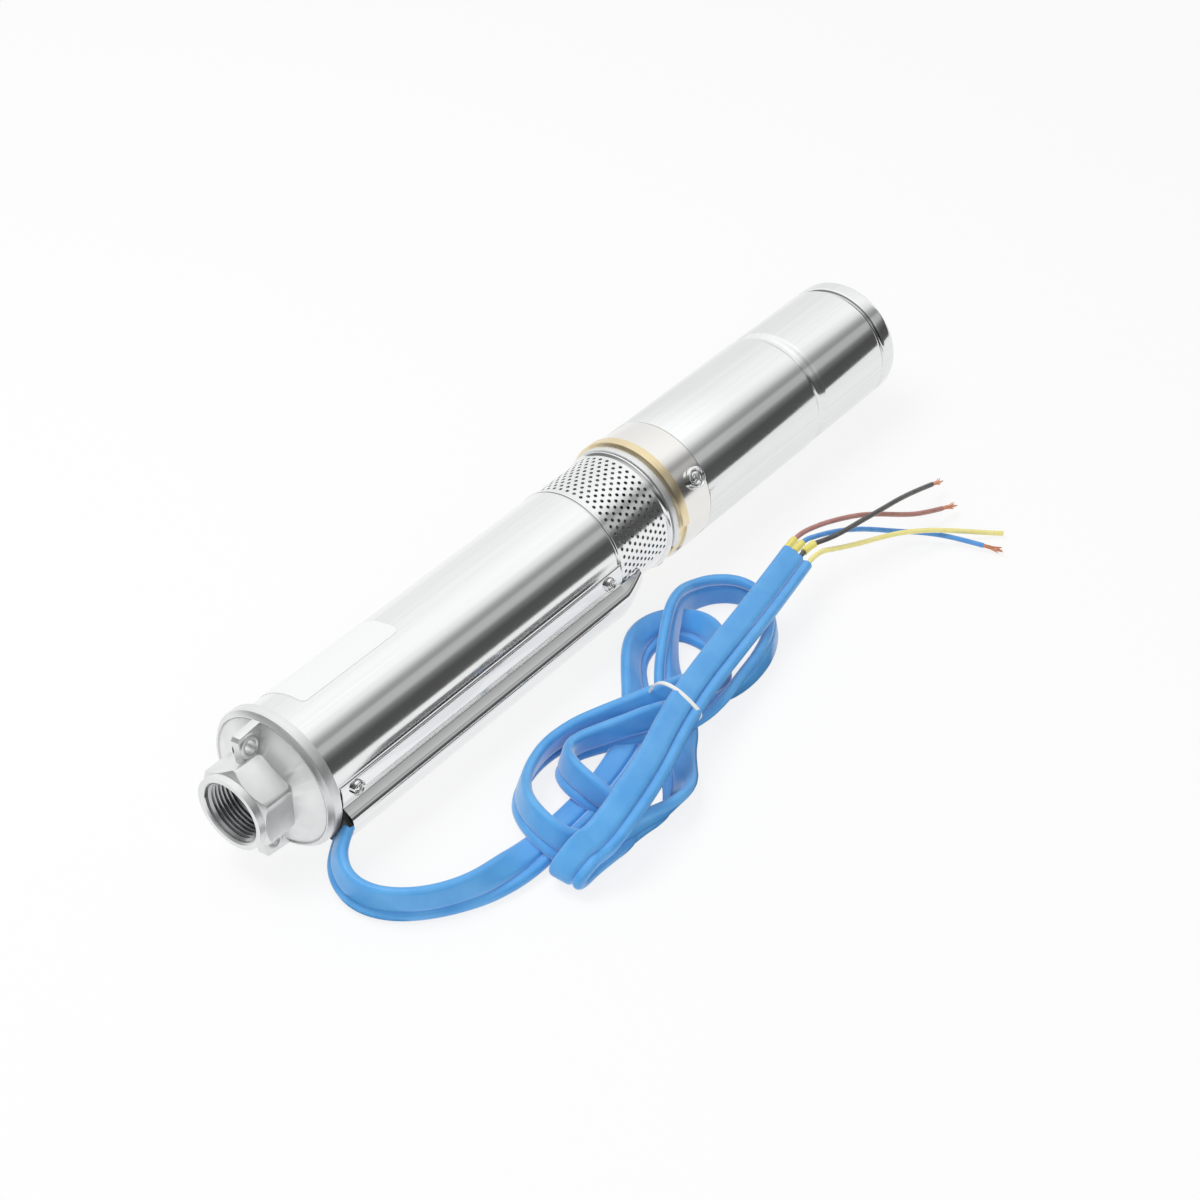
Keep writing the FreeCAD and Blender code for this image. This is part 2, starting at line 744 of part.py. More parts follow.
def bearing(start, outer):
    """Sealed ball bearing as one plain ring with its shield recesses."""
    inner = motor_journal_radius + slip_fit
    middle_radius = (outer + inner) / 2
    return turned(
        (start, inner), (start, middle_radius - 2), (start + 0.8, middle_radius - 2),
        (start + 0.8, middle_radius + 2), (start, middle_radius + 2), (start, outer),
        (start + bearing_width, outer), (start + bearing_width, inner))


def stator_core():
    return ring(stator_first, stator_first + stator_length, motor_insert, stator_bore_radius)


def windings():
    """Copper end turns at both ends of the stator."""
    turns = []
    for start in (stator_first - winding_length, stator_first + stator_length):
        end = start + winding_length - face_gap
        inner = stator_bore_radius + 2
        outer = inner + winding_height
        first = start + face_gap
        turns.append(turned((first, inner), (first, outer), (end, outer), (end, inner)))
    return Part.makeCompound(turns)


def rotor_core():
    return ring(stator_first, stator_first + stator_length, rotor_core_radius,
                motor_shaft_radius + slip_fit)


def magnet_ring():
    return ring(stator_first, stator_first + stator_length,
                stator_bore_radius - rotor_air_gap, rotor_core_radius + slip_fit)


def motor_shaft():
    """Hexagonal drive end, two journals and the thicker middle that carries the rotor."""
    drive = coupling_start() + coupling_length / 2 + 1
    upper = upper_bearing_start()
    lower = lower_bearing_start()
    hexagon = hex_bar(drive, coupling_start() + coupling_length + 2, shaft_hex_flats)
    front = ring(coupling_start() + coupling_length + 1, upper + bearing_width, motor_journal_radius)
    body = ring(upper + bearing_width, lower - 4, motor_shaft_radius)
    tail = ring(lower - 5, lower + bearing_width, motor_journal_radius)
    return hexagon.fuse([front, body, tail]).removeSplitter()


def seal_seat():
    """Stationary half of the shaft seal."""
    start = brass_ring_end + 4
    return ring(start, upper_bearing_start() - 3 - slip_fit, seal_radius(), motor_journal_radius + 0.5)


def seal_face():
    """Rotating half of the shaft seal, on the motor shaft."""
    start = brass_ring_end - 6
    end = brass_ring_end + 4 - slip_fit
    inner = motor_journal_radius + slip_fit
    outer = seal_radius() - 0.8
    return turned(
        (start, inner), (start, outer - 1.2), (start + 6, outer - 1.2), (start + 6, outer),
        (end, outer), (end, inner))


def pressure_diaphragm():
    """Rubber cup that lets the motor's filling expand, clamped by the end cap."""
    rim = shell_end - end_cap_depth
    bottom = rim - diaphragm_length
    outer = motor_tail_radius - motor_wall - slip_fit
    step = outer - diaphragm_rim - 1
    inner = step - diaphragm_wall
    low = outer / 3
    return turned(
        (rim, outer), (rim - diaphragm_rim, outer), (rim - diaphragm_rim, step),
        (bottom + diaphragm_wall * 2, step - 4), (bottom, low), (bottom, 0), (bottom + diaphragm_wall, 0),
        (bottom + diaphragm_wall, low - 1), (bottom + diaphragm_wall * 3, inner - 4),
        (rim - diaphragm_rim / 2, inner), (rim, inner))


def end_cap():
    """Cap with a rolled-in groove, a rounded outer edge and a recessed end."""
    inner = motor_tail_radius - motor_wall - slip_fit
    neck = motor_tail_radius - end_cap_neck
    edge = motor_tail_radius - 0.2
    start = shell_end - end_cap_depth
    fold = pump_end - end_cap_round
    lip = edge - end_cap_round
    return turned(
        (start, 0), (start, inner), (shell_end - 5, inner), (shell_end - 3.6, neck),
        (shell_end + 0.4, neck), (shell_end + 0.4, motor_tail_radius - 2),
        (shell_end + 1.2, edge - 0.5), (shell_end + 2.6, edge), (fold, edge),
        (fold + end_cap_round * 0.7, edge - end_cap_round * 0.3), (pump_end, lip),
        (pump_end, lip - end_cap_recess * 2), (pump_end - end_cap_recess, lip - end_cap_recess * 3),
        (pump_end - end_cap_recess, 0))


def guard_screw_stations():
    return [guard_start + guard_screw_from_end, guard_end - guard_screw_from_end]


def guard_screw_angles():
    """The screws sit in the middle of each flange, either side of the channel."""
    fold = math.degrees(math.asin(channel_base_half / guard_flange_radius))
    middle_of_flange = fold + math.degrees(guard_flange_width / guard_flange_radius) / 2
    return [guard_turn - middle_of_flange, guard_turn + middle_of_flange]


def motor_screw_station():
    return brass_ring_end + 14.4


def motor_screw_end():
    return motor_insert - 5.35


def motor_screw_angles():
    return [motor_screw_turn + 360.0 * k / motor_screw_count for k in range(motor_screw_count)]


def guard_hood():
    """The guard's end, drawn down over the strainer behind the cable."""
    outer = [channel_face(guard_end - 0.5), channel_face(hood_end, 0, hood_drop)]
    inner = [channel_face(guard_end - 2, guard_wall), channel_face(hood_end + 1, guard_wall, hood_drop)]
    return Part.makeLoft(outer, True, True).cut(Part.makeLoft(inner, True, True))


def cable_guard():
    """Folded sheet: a crowned channel for the cable with a curved flange on either side."""
    hollow = channel_bar(guard_start - 1, guard_end + 1, guard_wall)
    shell = channel_bar(guard_start, guard_end).cut(hollow)
    fold = math.asin(channel_base_half / guard_flange_radius)
    half = fold + guard_flange_width / guard_flange_radius
    far = 60.0
    left = Vector(guard_start, -far * math.sin(half), far * math.cos(half))
    right = Vector(guard_start, far * math.sin(half), far * math.cos(half))
    centre = Vector(guard_start, 0, 0)
    wedge = Part.Face(Part.makePolygon([centre, left, right, centre]))
    wedge = wedge.extrude(Vector(guard_end - guard_start, 0, 0))
    flange = ring(guard_start, guard_end, guard_flange_radius, tube_radius + slip_fit).common(wedge)
    flange = flange.cut(hollow)
    guard = spun(shell.fuse([flange, guard_hood()]), guard_turn)
    guard = guard.cut(ring(guard_start - 5, hood_end + 5, tube_radius + slip_fit))
    bead_room = tube_radius + tube_bead_height + slip_fit
    guard = guard.cut(ring(guard_end, hood_end + 5, bead_room))
    for station in guard_screw_stations():
        for angle in guard_screw_angles():
            guard = guard.cut(radial_hole(station, angle, guard_screw_radius + screw_clearance,
                                          tube_radius - 2, tube_radius + 3))
    return guard.removeSplitter()


def guard_screws():
    screws = []
    for station in guard_screw_stations():
        for angle in guard_screw_angles():
            screws.append(pan_screw(station, angle, guard_flange_radius, guard_screw_head_radius,
                                    guard_screw_head_height, guard_screw_radius - slip_fit,
                                    valve_chamber_radius + 1.2))
    return Part.makeCompound(screws)


def motor_screws():
    screws = [pan_screw(motor_screw_station(), angle, motor_radius + 0.1, motor_screw_head_radius,
                        motor_screw_head_height, motor_screw_radius - slip_fit, motor_screw_end())
              for angle in motor_screw_angles()]
    return Part.makeCompound(screws)


def lead_points():
    """Centreline of the guarded cable, upright: under the guard, then under the strainer."""
    return [Vector(grommet_start + grommet_length / 2, 0, lead_height),
            Vector(lead_dip_start, 0, lead_height),
            Vector(lead_dip_end, 0, inner_lead_height),
            Vector(cable_end(), 0, inner_lead_height)]


def cable_lead():
    """The flat cable from the grommet, under the guard and the strainer, into the motor."""
    points = lead_points()
    wire, radii, length = bent_path(points)
    section = cable_section(cable_chamfer)
    section.translate(points[0])
    solid = swept(wire, section, Vector(0, 1, 0))
    report_cord("cable_lead", solid, radii, length, section_area(cable_chamfer))
    return spun(solid, guard_turn)


def cable_grommet():
    """Rubber plug in the guard's mouth, with a lip in front of it."""
    lip = channel_bar(grommet_start, guard_start - slip_fit)
    plug = channel_bar(guard_start - 1, grommet_start + grommet_length, guard_wall + slip_fit)
    body = lip.fuse(plug).cut(ring(0, guard_end, tube_radius + slip_fit))
    section = cable_section(cable_chamfer)
    section.translate(Vector(grommet_start + grommet_length / 2, 0, lead_height))
    hole = Part.Face(section).extrude(Vector(grommet_length, 0, 0))
    return spun(body.cut(hole), guard_turn).removeSplitter()


def bent_path(points):
    """Straight runs joined by tangent arcs, each as large as its two runs allow."""
    edges = []
    radii = []
    here = points[0]
    for k in range(1, len(points) - 1):
        corner = points[k]
        before = corner - points[k - 1]
        after = points[k + 1] - corner
        reach = 0.45 * min(before.Length, after.Length)
        turn = before.getAngle(after)
        radius = reach / math.tan(turn / 2)
        into = Vector(before).normalize()
        away = Vector(after).normalize()
        start = corner - into * reach
        end = corner + away * reach
        inward = (away - into).normalize()
        centre = corner + inward * (radius / math.cos(turn / 2))
        top = centre - inward * radius
        edges.append(Part.LineSegment(here, start).toShape())
        edges.append(Part.Arc(start, top, end).toShape())
        radii.append(round(radius, 1))
        here = end
    edges.append(Part.LineSegment(here, points[-1]).toShape())
    wire = Part.Wire(edges)
    return wire, radii, wire.Length


def swept(wire, section, level=None):
    """Sweep a section along a path, its width kept parallel to one direction if given."""
    pipe = Part.BRepOffsetAPI.MakePipeShell(wire)
    if level:
        pipe.setBiNormalMode(level)
    else:
        pipe.setFrenetMode(False)
    pipe.add(section, False, False)
    pipe.build()
    pipe.makeSolid()
    return pipe.shape()


def section_area(chamfer):
    return cable_width * cable_thickness - 2 * chamfer * chamfer


def report_cord(name, solid, radii, length, area):
    print(name, "length", round(length, 1), "radii", radii,
          "volume share", round(solid.Volume / (length * area), 4))


# Routes of the free cable in the part's own frame. The width of the flat cable keeps one
# direction along each stretch, as a flat strip does that bends only the easy way.
arc_level = Vector(0, 0.4848, -0.8746)
arc_route = [
    (-219.6, -34.3, 18.6), (-228.6, -38.2, 16.4), (-235.4, -44.0, 13.6), (-239.6, -52.4, 11.2),
    (-240.6, -62.8, 9.9), (-237.4, -73.8, 9.8), (-229.8, -84.8, 9.9), (-217.8, -94.9, 9.8),
    (-202.0, -103.1, 9.9), (-182.6, -108.8, 9.8), (-157.0, -112.8, 9.9)]
tail_level = Vector(0.15, -0.88, -0.45)
tail_route = [
    (-177.0, -134.5, 15.2), (-153.0, -136.2, 22.2), (-128.0, -134.0, 26.0), (-100.0, -127.6, 26.6),
    (-70.0, -117.6, 26.4), (-37.0, -109.4, 26.6), (0.0, -102.8, 26.4), (38.0, -96.6, 26.6),
    (79.0, -88.6, 26.3)]
# The cores' routes start after the straight bit where each leaves the cut sheath.
brown_route = [
    (106.4, -82.8, 28.6), (120.8, -87.6, 26.6), (133.8, -93.0, 24.2), (145.0, -98.8, 20.8),
    (156.0, -105.2, 16.6), (169.0, -111.0, 12.2), (184.8, -115.0, 8.4)]
blue_route = [
    (101.5, -86.6, 26.4), (111.5, -90.0, 24.6), (121.8, -95.0, 22.4), (132.0, -101.0, 19.6),
    (146.0, -111.6, 15.2), (159.4, -122.9, 11.4), (168.5, -135.6, 8.0), (174.3, -149.8, 5.6)]
black_route = [
    (102.5, -93.0, 26.6), (111.2, -97.6, 29.2), (121.8, -100.6, 30.6), (139.0, -101.8, 28.2),
    (160.0, -101.0, 23.2), (180.0, -100.4, 17.0), (197.0, -100.2, 11.2)]
earth_route = [
    (106.5, -97.0, 19.6), (121.7, -101.8, 16.0), (135.5, -105.4, 13.0), (149.5, -110.0, 9.8),
    (165.0, -119.4, 6.4), (177.8, -131.2, 3.8), (186.0, -140.6, 2.7), (193.4, -150.0, 2.2)]
hank_height = 18.6
tie_station = -52.0
tie_width = 2.6
tie_strap = 1.2
tie_side = -124.0
tie_reach = 30.6
tie_height = 35.4


def as_vectors(route):
    return [Vector(*point) for point in route]


def flat_stretch(name, route, level):
    """A free stretch of the flat cable, plain and square-edged."""
    points = as_vectors(route)
    wire, radii, length = bent_path(points)
    along = (points[1] - points[0]).normalize()
    across = Vector(level).normalize()
    thin = along.cross(across).normalize()
    half = across * (cable_width / 2)
    flat = thin * (cable_thickness / 2)
    start = points[0]
    corners = [start - half - flat, start + half - flat, start + half + flat, start - half + flat]
    corners.append(corners[0])
    solid = swept(wire, Part.makePolygon(corners), level)
    report_cord(name, solid, radii, length, section_area(0))
    return solid


def cable_arc():
    """Free cable from the grommet round to the hank, cut flush with the grommet's face."""
    stretch = flat_stretch("cable_arc", arc_route, arc_level)
    inside = Part.makeBox(60, 80, 80, Vector(grommet_start - middle.x, -80, -10))
    beyond = hank_face().extrude(Vector(0, 0, 2 * hank_height))
    return stretch.cut([inside, beyond])


def hank_outline(*steps):
    """Closed face on the floor from straight steps (x, y) and arcs (x, y, x, y)."""
    here = Vector(steps[0][0], steps[0][1], 0)
    first = here
    edges = []
    for step in steps[1:]:
        there = Vector(step[-2], step[-1], 0)
        if len(step) == 2:
            edges.append(Part.LineSegment(here, there).toShape())
        else:
            edges.append(Part.Arc(here, Vector(step[0], step[1], 0), there).toShape())
        here = there
    edges.append(Part.LineSegment(here, first).toShape())
    return Part.Face(Part.Wire(edges))


def hank_face():
    """Plan of the tied figure-of-eight hank: two lobes joined at a waist."""
    return hank_outline(
        (-62, -94), (-104, -55.5, -156, -92), (-162, -106, -154, -119), (-132, -139), (-122, -148),
        (-104, -154.5, -86, -146), (-62, -124), (-40, -123), (0, -119), (40, -107, 58, -90),
        (64, -66, 44, -46), (8, -42.6), (-16, -50, -34, -84), (-40, -94))


def cable_hank():
    """Outer shape of the hank, pressed in where the tie goes round it."""
    return hank_face().extrude(Vector(0, 0, hank_height)).cut(cable_tie())


def cable_tail():
    """Top strand: it starts at the fold, lies over the hank and ends at the cut sheath."""
    return flat_stretch("cable_tail", tail_route, tail_level)


def cable_tie():
    """Strap round the waist of the hank and the strand on top of it."""
    outer = Part.makeBox(tie_width, tie_reach + 2 * tie_strap, tie_height,
                         Vector(tie_station, tie_side - tie_strap, 0.1))
    inner = Part.makeBox(tie_width, tie_reach, tie_height - 2 * tie_strap,
                         Vector(tie_station, tie_side, tie_strap + 0.1))
    return outer.cut(inner)


def core_points(route, offset):
    """A core leaves the cut sheath square to its end face, at one place across its width."""
    sheath = as_vectors(tail_route)
    along = (sheath[-1] - sheath[-2]).normalize()
    across = Vector(tail_level).normalize()
    start = sheath[-1] + across * offset
    return [start, start + along * core_straight] + as_vectors(route)


def six_sides(start, along, radius):
    """Outline of a thin core, square to its direction."""
    side = along.cross(Vector(0, 0, 1)).normalize()
    up = side.cross(along).normalize()
    corners = []
    for k in range(7):
        angle = math.radians(60 * k)
        corners.append(start + side * (radius * math.cos(angle)) + up * (radius * math.sin(angle)))
    return Part.makePolygon(corners)


def round_cord(name, points, radius):
    """A thin core, six-sided and plain."""
    wire, radii, length = bent_path(points)
    solid = swept(wire, six_sides(points[0], points[1] - points[0], radius))
    area = 1.5 * math.sqrt(3) * radius * radius
    report_cord(name, solid, radii, length, area)
    return solid


def power_cores():
    """Centrelines of the brown, blue and black cores, side by side in the sheath."""
    routes = (brown_route, blue_route, black_route)
    return [core_points(route, first_core + k * core_spacing) for k, route in enumerate(routes)]


def core_sleeves():
    """Short tubes over the three power cores at the cut sheath."""
    sleeves = []
    for points in power_cores():
        start = points[0]
        along = (points[1] - start).normalize()
        near = start + along * 0.5
        tube = Part.Face(six_sides(near, along, sleeve_radius)).extrude(along * sleeve_length)
        hole = Part.Face(six_sides(near, along, core_radius + slip_fit)).extrude(along * sleeve_length)
        sleeves.append(tube.cut(hole))
    return Part.makeCompound(sleeves)


def bare_strands():
    """Stripped copper beyond the insulation of the three power cores."""
    ends = []
    for points in power_cores():
        end = points[-1]
        along = (end - points[-2]).normalize()
        outline = Part.Face(six_sides(end, along, strand_radius))
        ends.append(outline.extrude(along * strand_length))
    return Part.makeCompound(ends)


save("discharge_head", discharge_head())
save("valve_seat", valve_seat())
save("valve_poppet", valve_poppet())
save("valve_seal", valve_seal())
save("pump_tube", pump_tube())
save("top_bearing", top_bearing())
save("top_bush", top_bush())
for stage in range(stage_count):
    save("diffuser_" + str(stage + 1), diffuser(stack_start + stage * stage_pitch))
    save("impeller_" + str(stage + 1), impeller(stack_start + stage * stage_pitch))
save("pump_shaft", pump_shaft())
save("coupling", coupling())
save("inlet_bracket", inlet_bracket())
save("bracket_bolts", bracket_bolts())
save("strainer", strainer())
save("motor_bracket", motor_bracket())
save("motor_collar", motor_collar())
save("motor_screws", motor_screws())
save("motor_shell", motor_shell())
save("stator_core", stator_core())
save("windings", windings())
save("rotor_core", rotor_core())
save("magnet_ring", magnet_ring())
save("motor_shaft", motor_shaft())
save("upper_bearing", bearing(upper_bearing_start(), upper_bearing_radius))
save("lower_bearing", bearing(lower_bearing_start(), lower_bearing_radius))
save("seal_seat", seal_seat())
save("seal_face", seal_face())
save("lower_bearing_plate", lower_bearing_plate())
save("pressure_diaphragm", pressure_diaphragm())
save("end_cap", end_cap())
save("cable_guard", cable_guard())
save("guard_screws", guard_screws())
save("cable_grommet", cable_grommet())
save("cable_lead", cable_lead())
save_cord("cable_arc", cable_arc())
save_cord("cable_hank", cable_hank())
save_cord("cable_tail", cable_tail())
save_cord("cable_tie", cable_tie())
for colour, points in zip(("brown", "blue", "black"), power_cores()):
    save_cord("core_" + colour, round_cord("core_" + colour, points, core_radius))
save_cord("core_earth", round_cord("core_earth", core_points(earth_route, earth_offset), core_radius))
save_cord("core_sleeves", core_sleeves())
save_cord("bare_strands", bare_strands())
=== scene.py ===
import math
import bmesh
import bpy
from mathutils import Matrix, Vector
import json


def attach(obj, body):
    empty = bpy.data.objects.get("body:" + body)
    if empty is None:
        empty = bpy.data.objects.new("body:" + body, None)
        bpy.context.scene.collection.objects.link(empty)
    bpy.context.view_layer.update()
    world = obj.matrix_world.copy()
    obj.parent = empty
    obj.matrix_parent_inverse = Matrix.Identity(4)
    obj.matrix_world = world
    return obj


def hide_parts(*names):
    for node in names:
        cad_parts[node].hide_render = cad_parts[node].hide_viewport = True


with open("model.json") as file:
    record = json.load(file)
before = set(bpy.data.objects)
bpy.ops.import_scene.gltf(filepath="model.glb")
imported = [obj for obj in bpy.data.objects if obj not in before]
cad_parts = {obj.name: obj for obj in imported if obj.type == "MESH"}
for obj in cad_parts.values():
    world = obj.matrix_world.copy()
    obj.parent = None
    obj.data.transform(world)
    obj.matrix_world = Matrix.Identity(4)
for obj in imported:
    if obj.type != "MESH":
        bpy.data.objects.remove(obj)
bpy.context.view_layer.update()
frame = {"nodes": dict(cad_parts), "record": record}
scene = bpy.context.scene

# The pump lies along X. A station is a distance along its axis in millimetres, and an
# angle runs round the axis from +Y over the top.
pump = {"firstStation": 226.6, "axisY": 0.0015706, "axisZ": 0.0385}
alongPump = Vector((1, 0, 0))


def onPump(station, radius, angle):
    turn = math.radians(angle)
    return Vector((
        (station - pump["firstStation"]) / 1000,
        pump["axisY"] + radius / 1000 * math.cos(turn),
        pump["axisZ"] + radius / 1000 * math.sin(turn)))


def outFrom(angle):
    # The way straight out from the pump's axis.
    return (onPump(0, 1, angle) - onPump(0, 0, angle)).normalized()


def newPiece(name, verts, faces, smoothAngle=35):
    mesh = bpy.data.meshes.new(name)
    mesh.from_pydata([tuple(v) for v in verts], [], faces)
    mesh.validate()
    piece = bpy.data.objects.new(name, mesh)
    scene.collection.objects.link(piece)
    smooth(mesh, smoothAngle)
    return piece


def smooth(mesh, angle):
    mesh.polygons.foreach_set("use_smooth", [True] * len(mesh.polygons))
    mesh.set_sharp_from_angle(angle=math.radians(angle))
    mesh.update()


def gridFaces(rows, count, base=0, loop=False, tube=False):
    # The faces between rows of points that were laid one after another. In a loop the last
    # row joins the first, and in a tube each row's last point joins its first.
    faces = []
    for k in range(rows if loop else rows - 1):
        near, far = base + k * count, base + (k + 1) % rows * count
        for j in range(count if tube else count - 1):
            following = (j + 1) % count
            faces.append((near + j, near + following, far + following, far + j))
    return faces


def tubeFaces(rows, count, base=0):
    # A tube's wall and its two ends.
    last = base + (rows - 1) * count
    ends = [[base + j for j in reversed(range(count))], [last + j for j in range(count)]]
    return gridFaces(rows, count, base, tube=True) + ends


def applyModifiers(piece):
    # The piece's modifiers are worked out once and left as its mesh.
    graph = bpy.context.evaluated_depsgraph_get()
    mesh = bpy.data.meshes.new_from_object(piece.evaluated_get(graph))
    piece.modifiers.clear()
    piece.data = mesh


def thicken(sheet, wall, smoothAngle):
    # The sheet grows inwards from its outer face, by its wall in millimetres.
    inwards = sheet.modifiers.new("sheet thickness", "SOLIDIFY")
    inwards.thickness = wall / 1000
    inwards.offset = -1
    applyModifiers(sheet)
    smooth(sheet.data, smoothAngle)


# Materials
def linear(hexColour):
    channels = [int(hexColour[k:k + 2], 16) / 255 for k in (1, 3, 5)]
    return [c / 12.92 if c <= 0.04045 else ((c + 0.055) / 1.055) ** 2.4 for c in channels] + [1]


def everyMm(size):
    # The scale of a pattern whose grains or lines are this many millimetres wide. Textures are
    # laid out in metres.
    return 1000 / size


def add(tree, kind, settings=None, links=None, stops=None, to=None, **values):
    # One node: its settings, its plain input values, what feeds its inputs, the stops of a
    # ramp as (place, hex colour or grey level), and the input that it feeds.
    node = tree.nodes.new(kind)
    for key, value in (settings or {}).items():
        setattr(node, key, value)
    for key, value in values.items():
        node.inputs[key.replace("_", " ")].default_value = value
    for key, source in (links or {}).items():
        tree.links.new(source, node.inputs[key])
    if stops:
        band = node.color_ramp
        while len(band.elements) < len(stops):
            band.elements.new(0.5)
        for element, (place, colour) in zip(band.elements, stops):
            element.position = place
            element.color = linear(colour) if isinstance(colour, str) else (colour, colour, colour, 1)
    if to is not None:
        tree.links.new(node.outputs[0], to)
    return node


def newMaterial(name, **shader):
    material = bpy.data.materials.new(name)
    material.use_nodes = True
    tree = material.node_tree
    main = tree.nodes["Principled BSDF"]
    for key, value in shader.items():
        if isinstance(value, str):
            value = linear(value)
        main.inputs[key.replace("_", " ")].default_value = value
    place = add(tree, "ShaderNodeTexCoord").outputs["Object"]
    return material, tree, main, place


def polishedStainless():
    # Polished stainless sheet: a near mirror, softened by the drawing lines along the pump.
    # The real lines are too fine to show, so these are 0.6 mm apart and 30 mm long.
    roughness = 0.12
    colour, shade = "#F1F2F2", "#EDEEEE"
    material, tree, main, place = newMaterial(
        "polishedStainless", Base_Color=colour, Metallic=1.0, Roughness=roughness)
    drawn = add(tree, "ShaderNodeMapping", links={"Vector": place},
                Scale=(everyMm(30), everyMm(0.6), everyMm(0.6)))
    lines = add(tree, "ShaderNodeTexNoise", links={"Vector": drawn.outputs[0]}, Scale=1.0, Detail=2.0)
    # Patches about 36 mm across are polished a little more or less.
    cloud = add(tree, "ShaderNodeTexNoise", links={"Vector": place}, Scale=everyMm(35.7), Detail=3.0)
    add(tree, "ShaderNodeMapRange", links={"Value": cloud.outputs["Fac"]}, to=main.inputs["Roughness"],
        To_Min=roughness * 0.7, To_Max=roughness * 1.35)
    # Long faint streaks, 1 to 3 mm wide, where the sheet was drawn.
    pulled = add(tree, "ShaderNodeMapping", links={"Vector": place},
                 Scale=(everyMm(200), everyMm(2.38), everyMm(2.38)))
    streaks = add(tree, "ShaderNodeTexNoise", links={"Vector": pulled.outputs[0]}, Scale=1.0, Detail=3.0)
    tone = add(tree, "ShaderNodeValToRGB", links={0: streaks.outputs["Fac"]},
               stops=[(0.3, shade), (0.62, colour)])
    # The motor's sheet, past the collar, is a little duller than the pump's.
    along = add(tree, "ShaderNodeSeparateXYZ", links={0: place})
    dull = add(tree, "ShaderNodeMapRange", links={"Value": along.outputs["X"]},
               From_Min=0.07, From_Max=0.075, To_Min=1.0, To_Max=0.93)
    add(tree, "ShaderNodeVectorMath", {"operation": "SCALE"},
        {0: tone.outputs[0], "Scale": dull.outputs[0]}, to=main.inputs["Base Color"])
    add(tree, "ShaderNodeBump", links={"Height": lines.outputs["Fac"]}, to=main.inputs["Normal"],
        Strength=0.25, Distance=0.000007)
    return material


def brushedStainless():
    # Stainless band, brushed round: a satin surface that spreads the light along the pump.
    # The real brush lines are too fine to show, so these are 0.4 mm apart.
    material, tree, main, place = newMaterial(
        "brushedStainless", Base_Color="#EDECE9", Metallic=1.0, Roughness=0.16)
    brushed = add(tree, "ShaderNodeMapping", links={"Vector": place},
                  Scale=(everyMm(0.4), everyMm(33.3), everyMm(33.3)))
    lines = add(tree, "ShaderNodeTexNoise", links={"Vector": brushed.outputs[0]}, Scale=1.0, Detail=2.0)
    add(tree, "ShaderNodeMapRange", links={"Value": lines.outputs["Fac"]}, to=main.inputs["Roughness"],
        To_Min=0.11, To_Max=0.22)
    add(tree, "ShaderNodeBump", links={"Height": lines.outputs["Fac"]}, to=main.inputs["Normal"],
        Strength=0.3, Distance=0.00002)
    return material


def castStainless():
    # Investment-cast stainless, bead-blasted: matt, pale and slightly grainy. The real grain
    # is about 0.1 mm and too fine to show, so it is drawn at 0.56 mm.
    material, tree, main, place = newMaterial(
        "castStainless", Base_Color="#E8E9E9", Metallic=0.9, Roughness=0.38)
    grain = add(tree, "ShaderNodeTexNoise", links={"Vector": place}, Scale=everyMm(0.556), Detail=3.0)
    # The casting's tone wanders over patches of about 17 mm.
    cloud = add(tree, "ShaderNodeTexNoise", links={"Vector": place}, Scale=everyMm(16.7), Detail=4.0)
    add(tree, "ShaderNodeValToRGB", links={0: cloud.outputs["Fac"]}, to=main.inputs["Base Color"],
        stops=[(0.3, "#E4E5E5"), (0.7, "#F2F3F3")])
    add(tree, "ShaderNodeBump", links={"Height": grain.outputs["Fac"]}, to=main.inputs["Normal"],
        Strength=0.5, Distance=0.00008)
    return material


def turnedSteel():
    # Machined shaft steel with turning marks round it, drawn 0.52 mm apart so that they show.
    # A wave texture has 10 / pi bands in each unit of its scale.
    material, tree, main, place = newMaterial(
        "turnedSteel", Base_Color="#B9BABC", Metallic=1.0, Roughness=0.28)
    marks = add(tree, "ShaderNodeTexWave", {"bands_direction": "X"}, {"Vector": place},
                Scale=everyMm(0.5236) * math.pi / 10, Distortion=0.4)
    add(tree, "ShaderNodeBump", links={"Height": marks.outputs["Fac"]}, to=main.inputs["Normal"],
        Strength=0.15, Distance=0.00001)
    return material


def turnedBrass():
    # Machined brass, slightly tarnished: warm yellow with paler patches about 11 mm across.
    material, tree, main, place = newMaterial(
        "turnedBrass", Base_Color="#DDBE84", Metallic=1.0, Roughness=0.3)
    cloud = add(tree, "ShaderNodeTexNoise", links={"Vector": place}, Scale=everyMm(11.1), Detail=4.0)
    add(tree, "ShaderNodeValToRGB", links={0: cloud.outputs["Fac"]}, to=main.inputs["Base Color"],
        stops=[(0.3, "#E9D5A9"), (0.55, "#F1E2BE"), (0.8, "#F6ECD2")])
    add(tree, "ShaderNodeBump", links={"Height": cloud.outputs["Fac"]}, to=main.inputs["Normal"],
        Strength=0.2, Distance=0.00004)
    return material


def bluePvc():
    # Soft PVC cable sheath, extruded: even blue with a broad satin sheen. The extruded skin
    # is too fine to show, so it is drawn at 1.1 mm.
    material, tree, main, place = newMaterial(
        "bluePvcSheath", Base_Color="#5AABEC", Roughness=0.34, Coat_Weight=0.3, Coat_Roughness=0.22)
    cloud = add(tree, "ShaderNodeTexNoise", links={"Vector": place}, Scale=everyMm(14.3), Detail=3.0)
    add(tree, "ShaderNodeValToRGB", links={0: cloud.outputs["Fac"]}, to=main.inputs["Base Color"],
        stops=[(0.3, "#51A4E9"), (0.7, "#63B2F0")])
    skin = add(tree, "ShaderNodeTexNoise", links={"Vector": place}, Scale=everyMm(1.11), Detail=2.0)
    add(tree, "ShaderNodeBump", links={"Height": skin.outputs["Fac"]}, to=main.inputs["Normal"],
        Strength=0.12, Distance=0.00003)
    return material


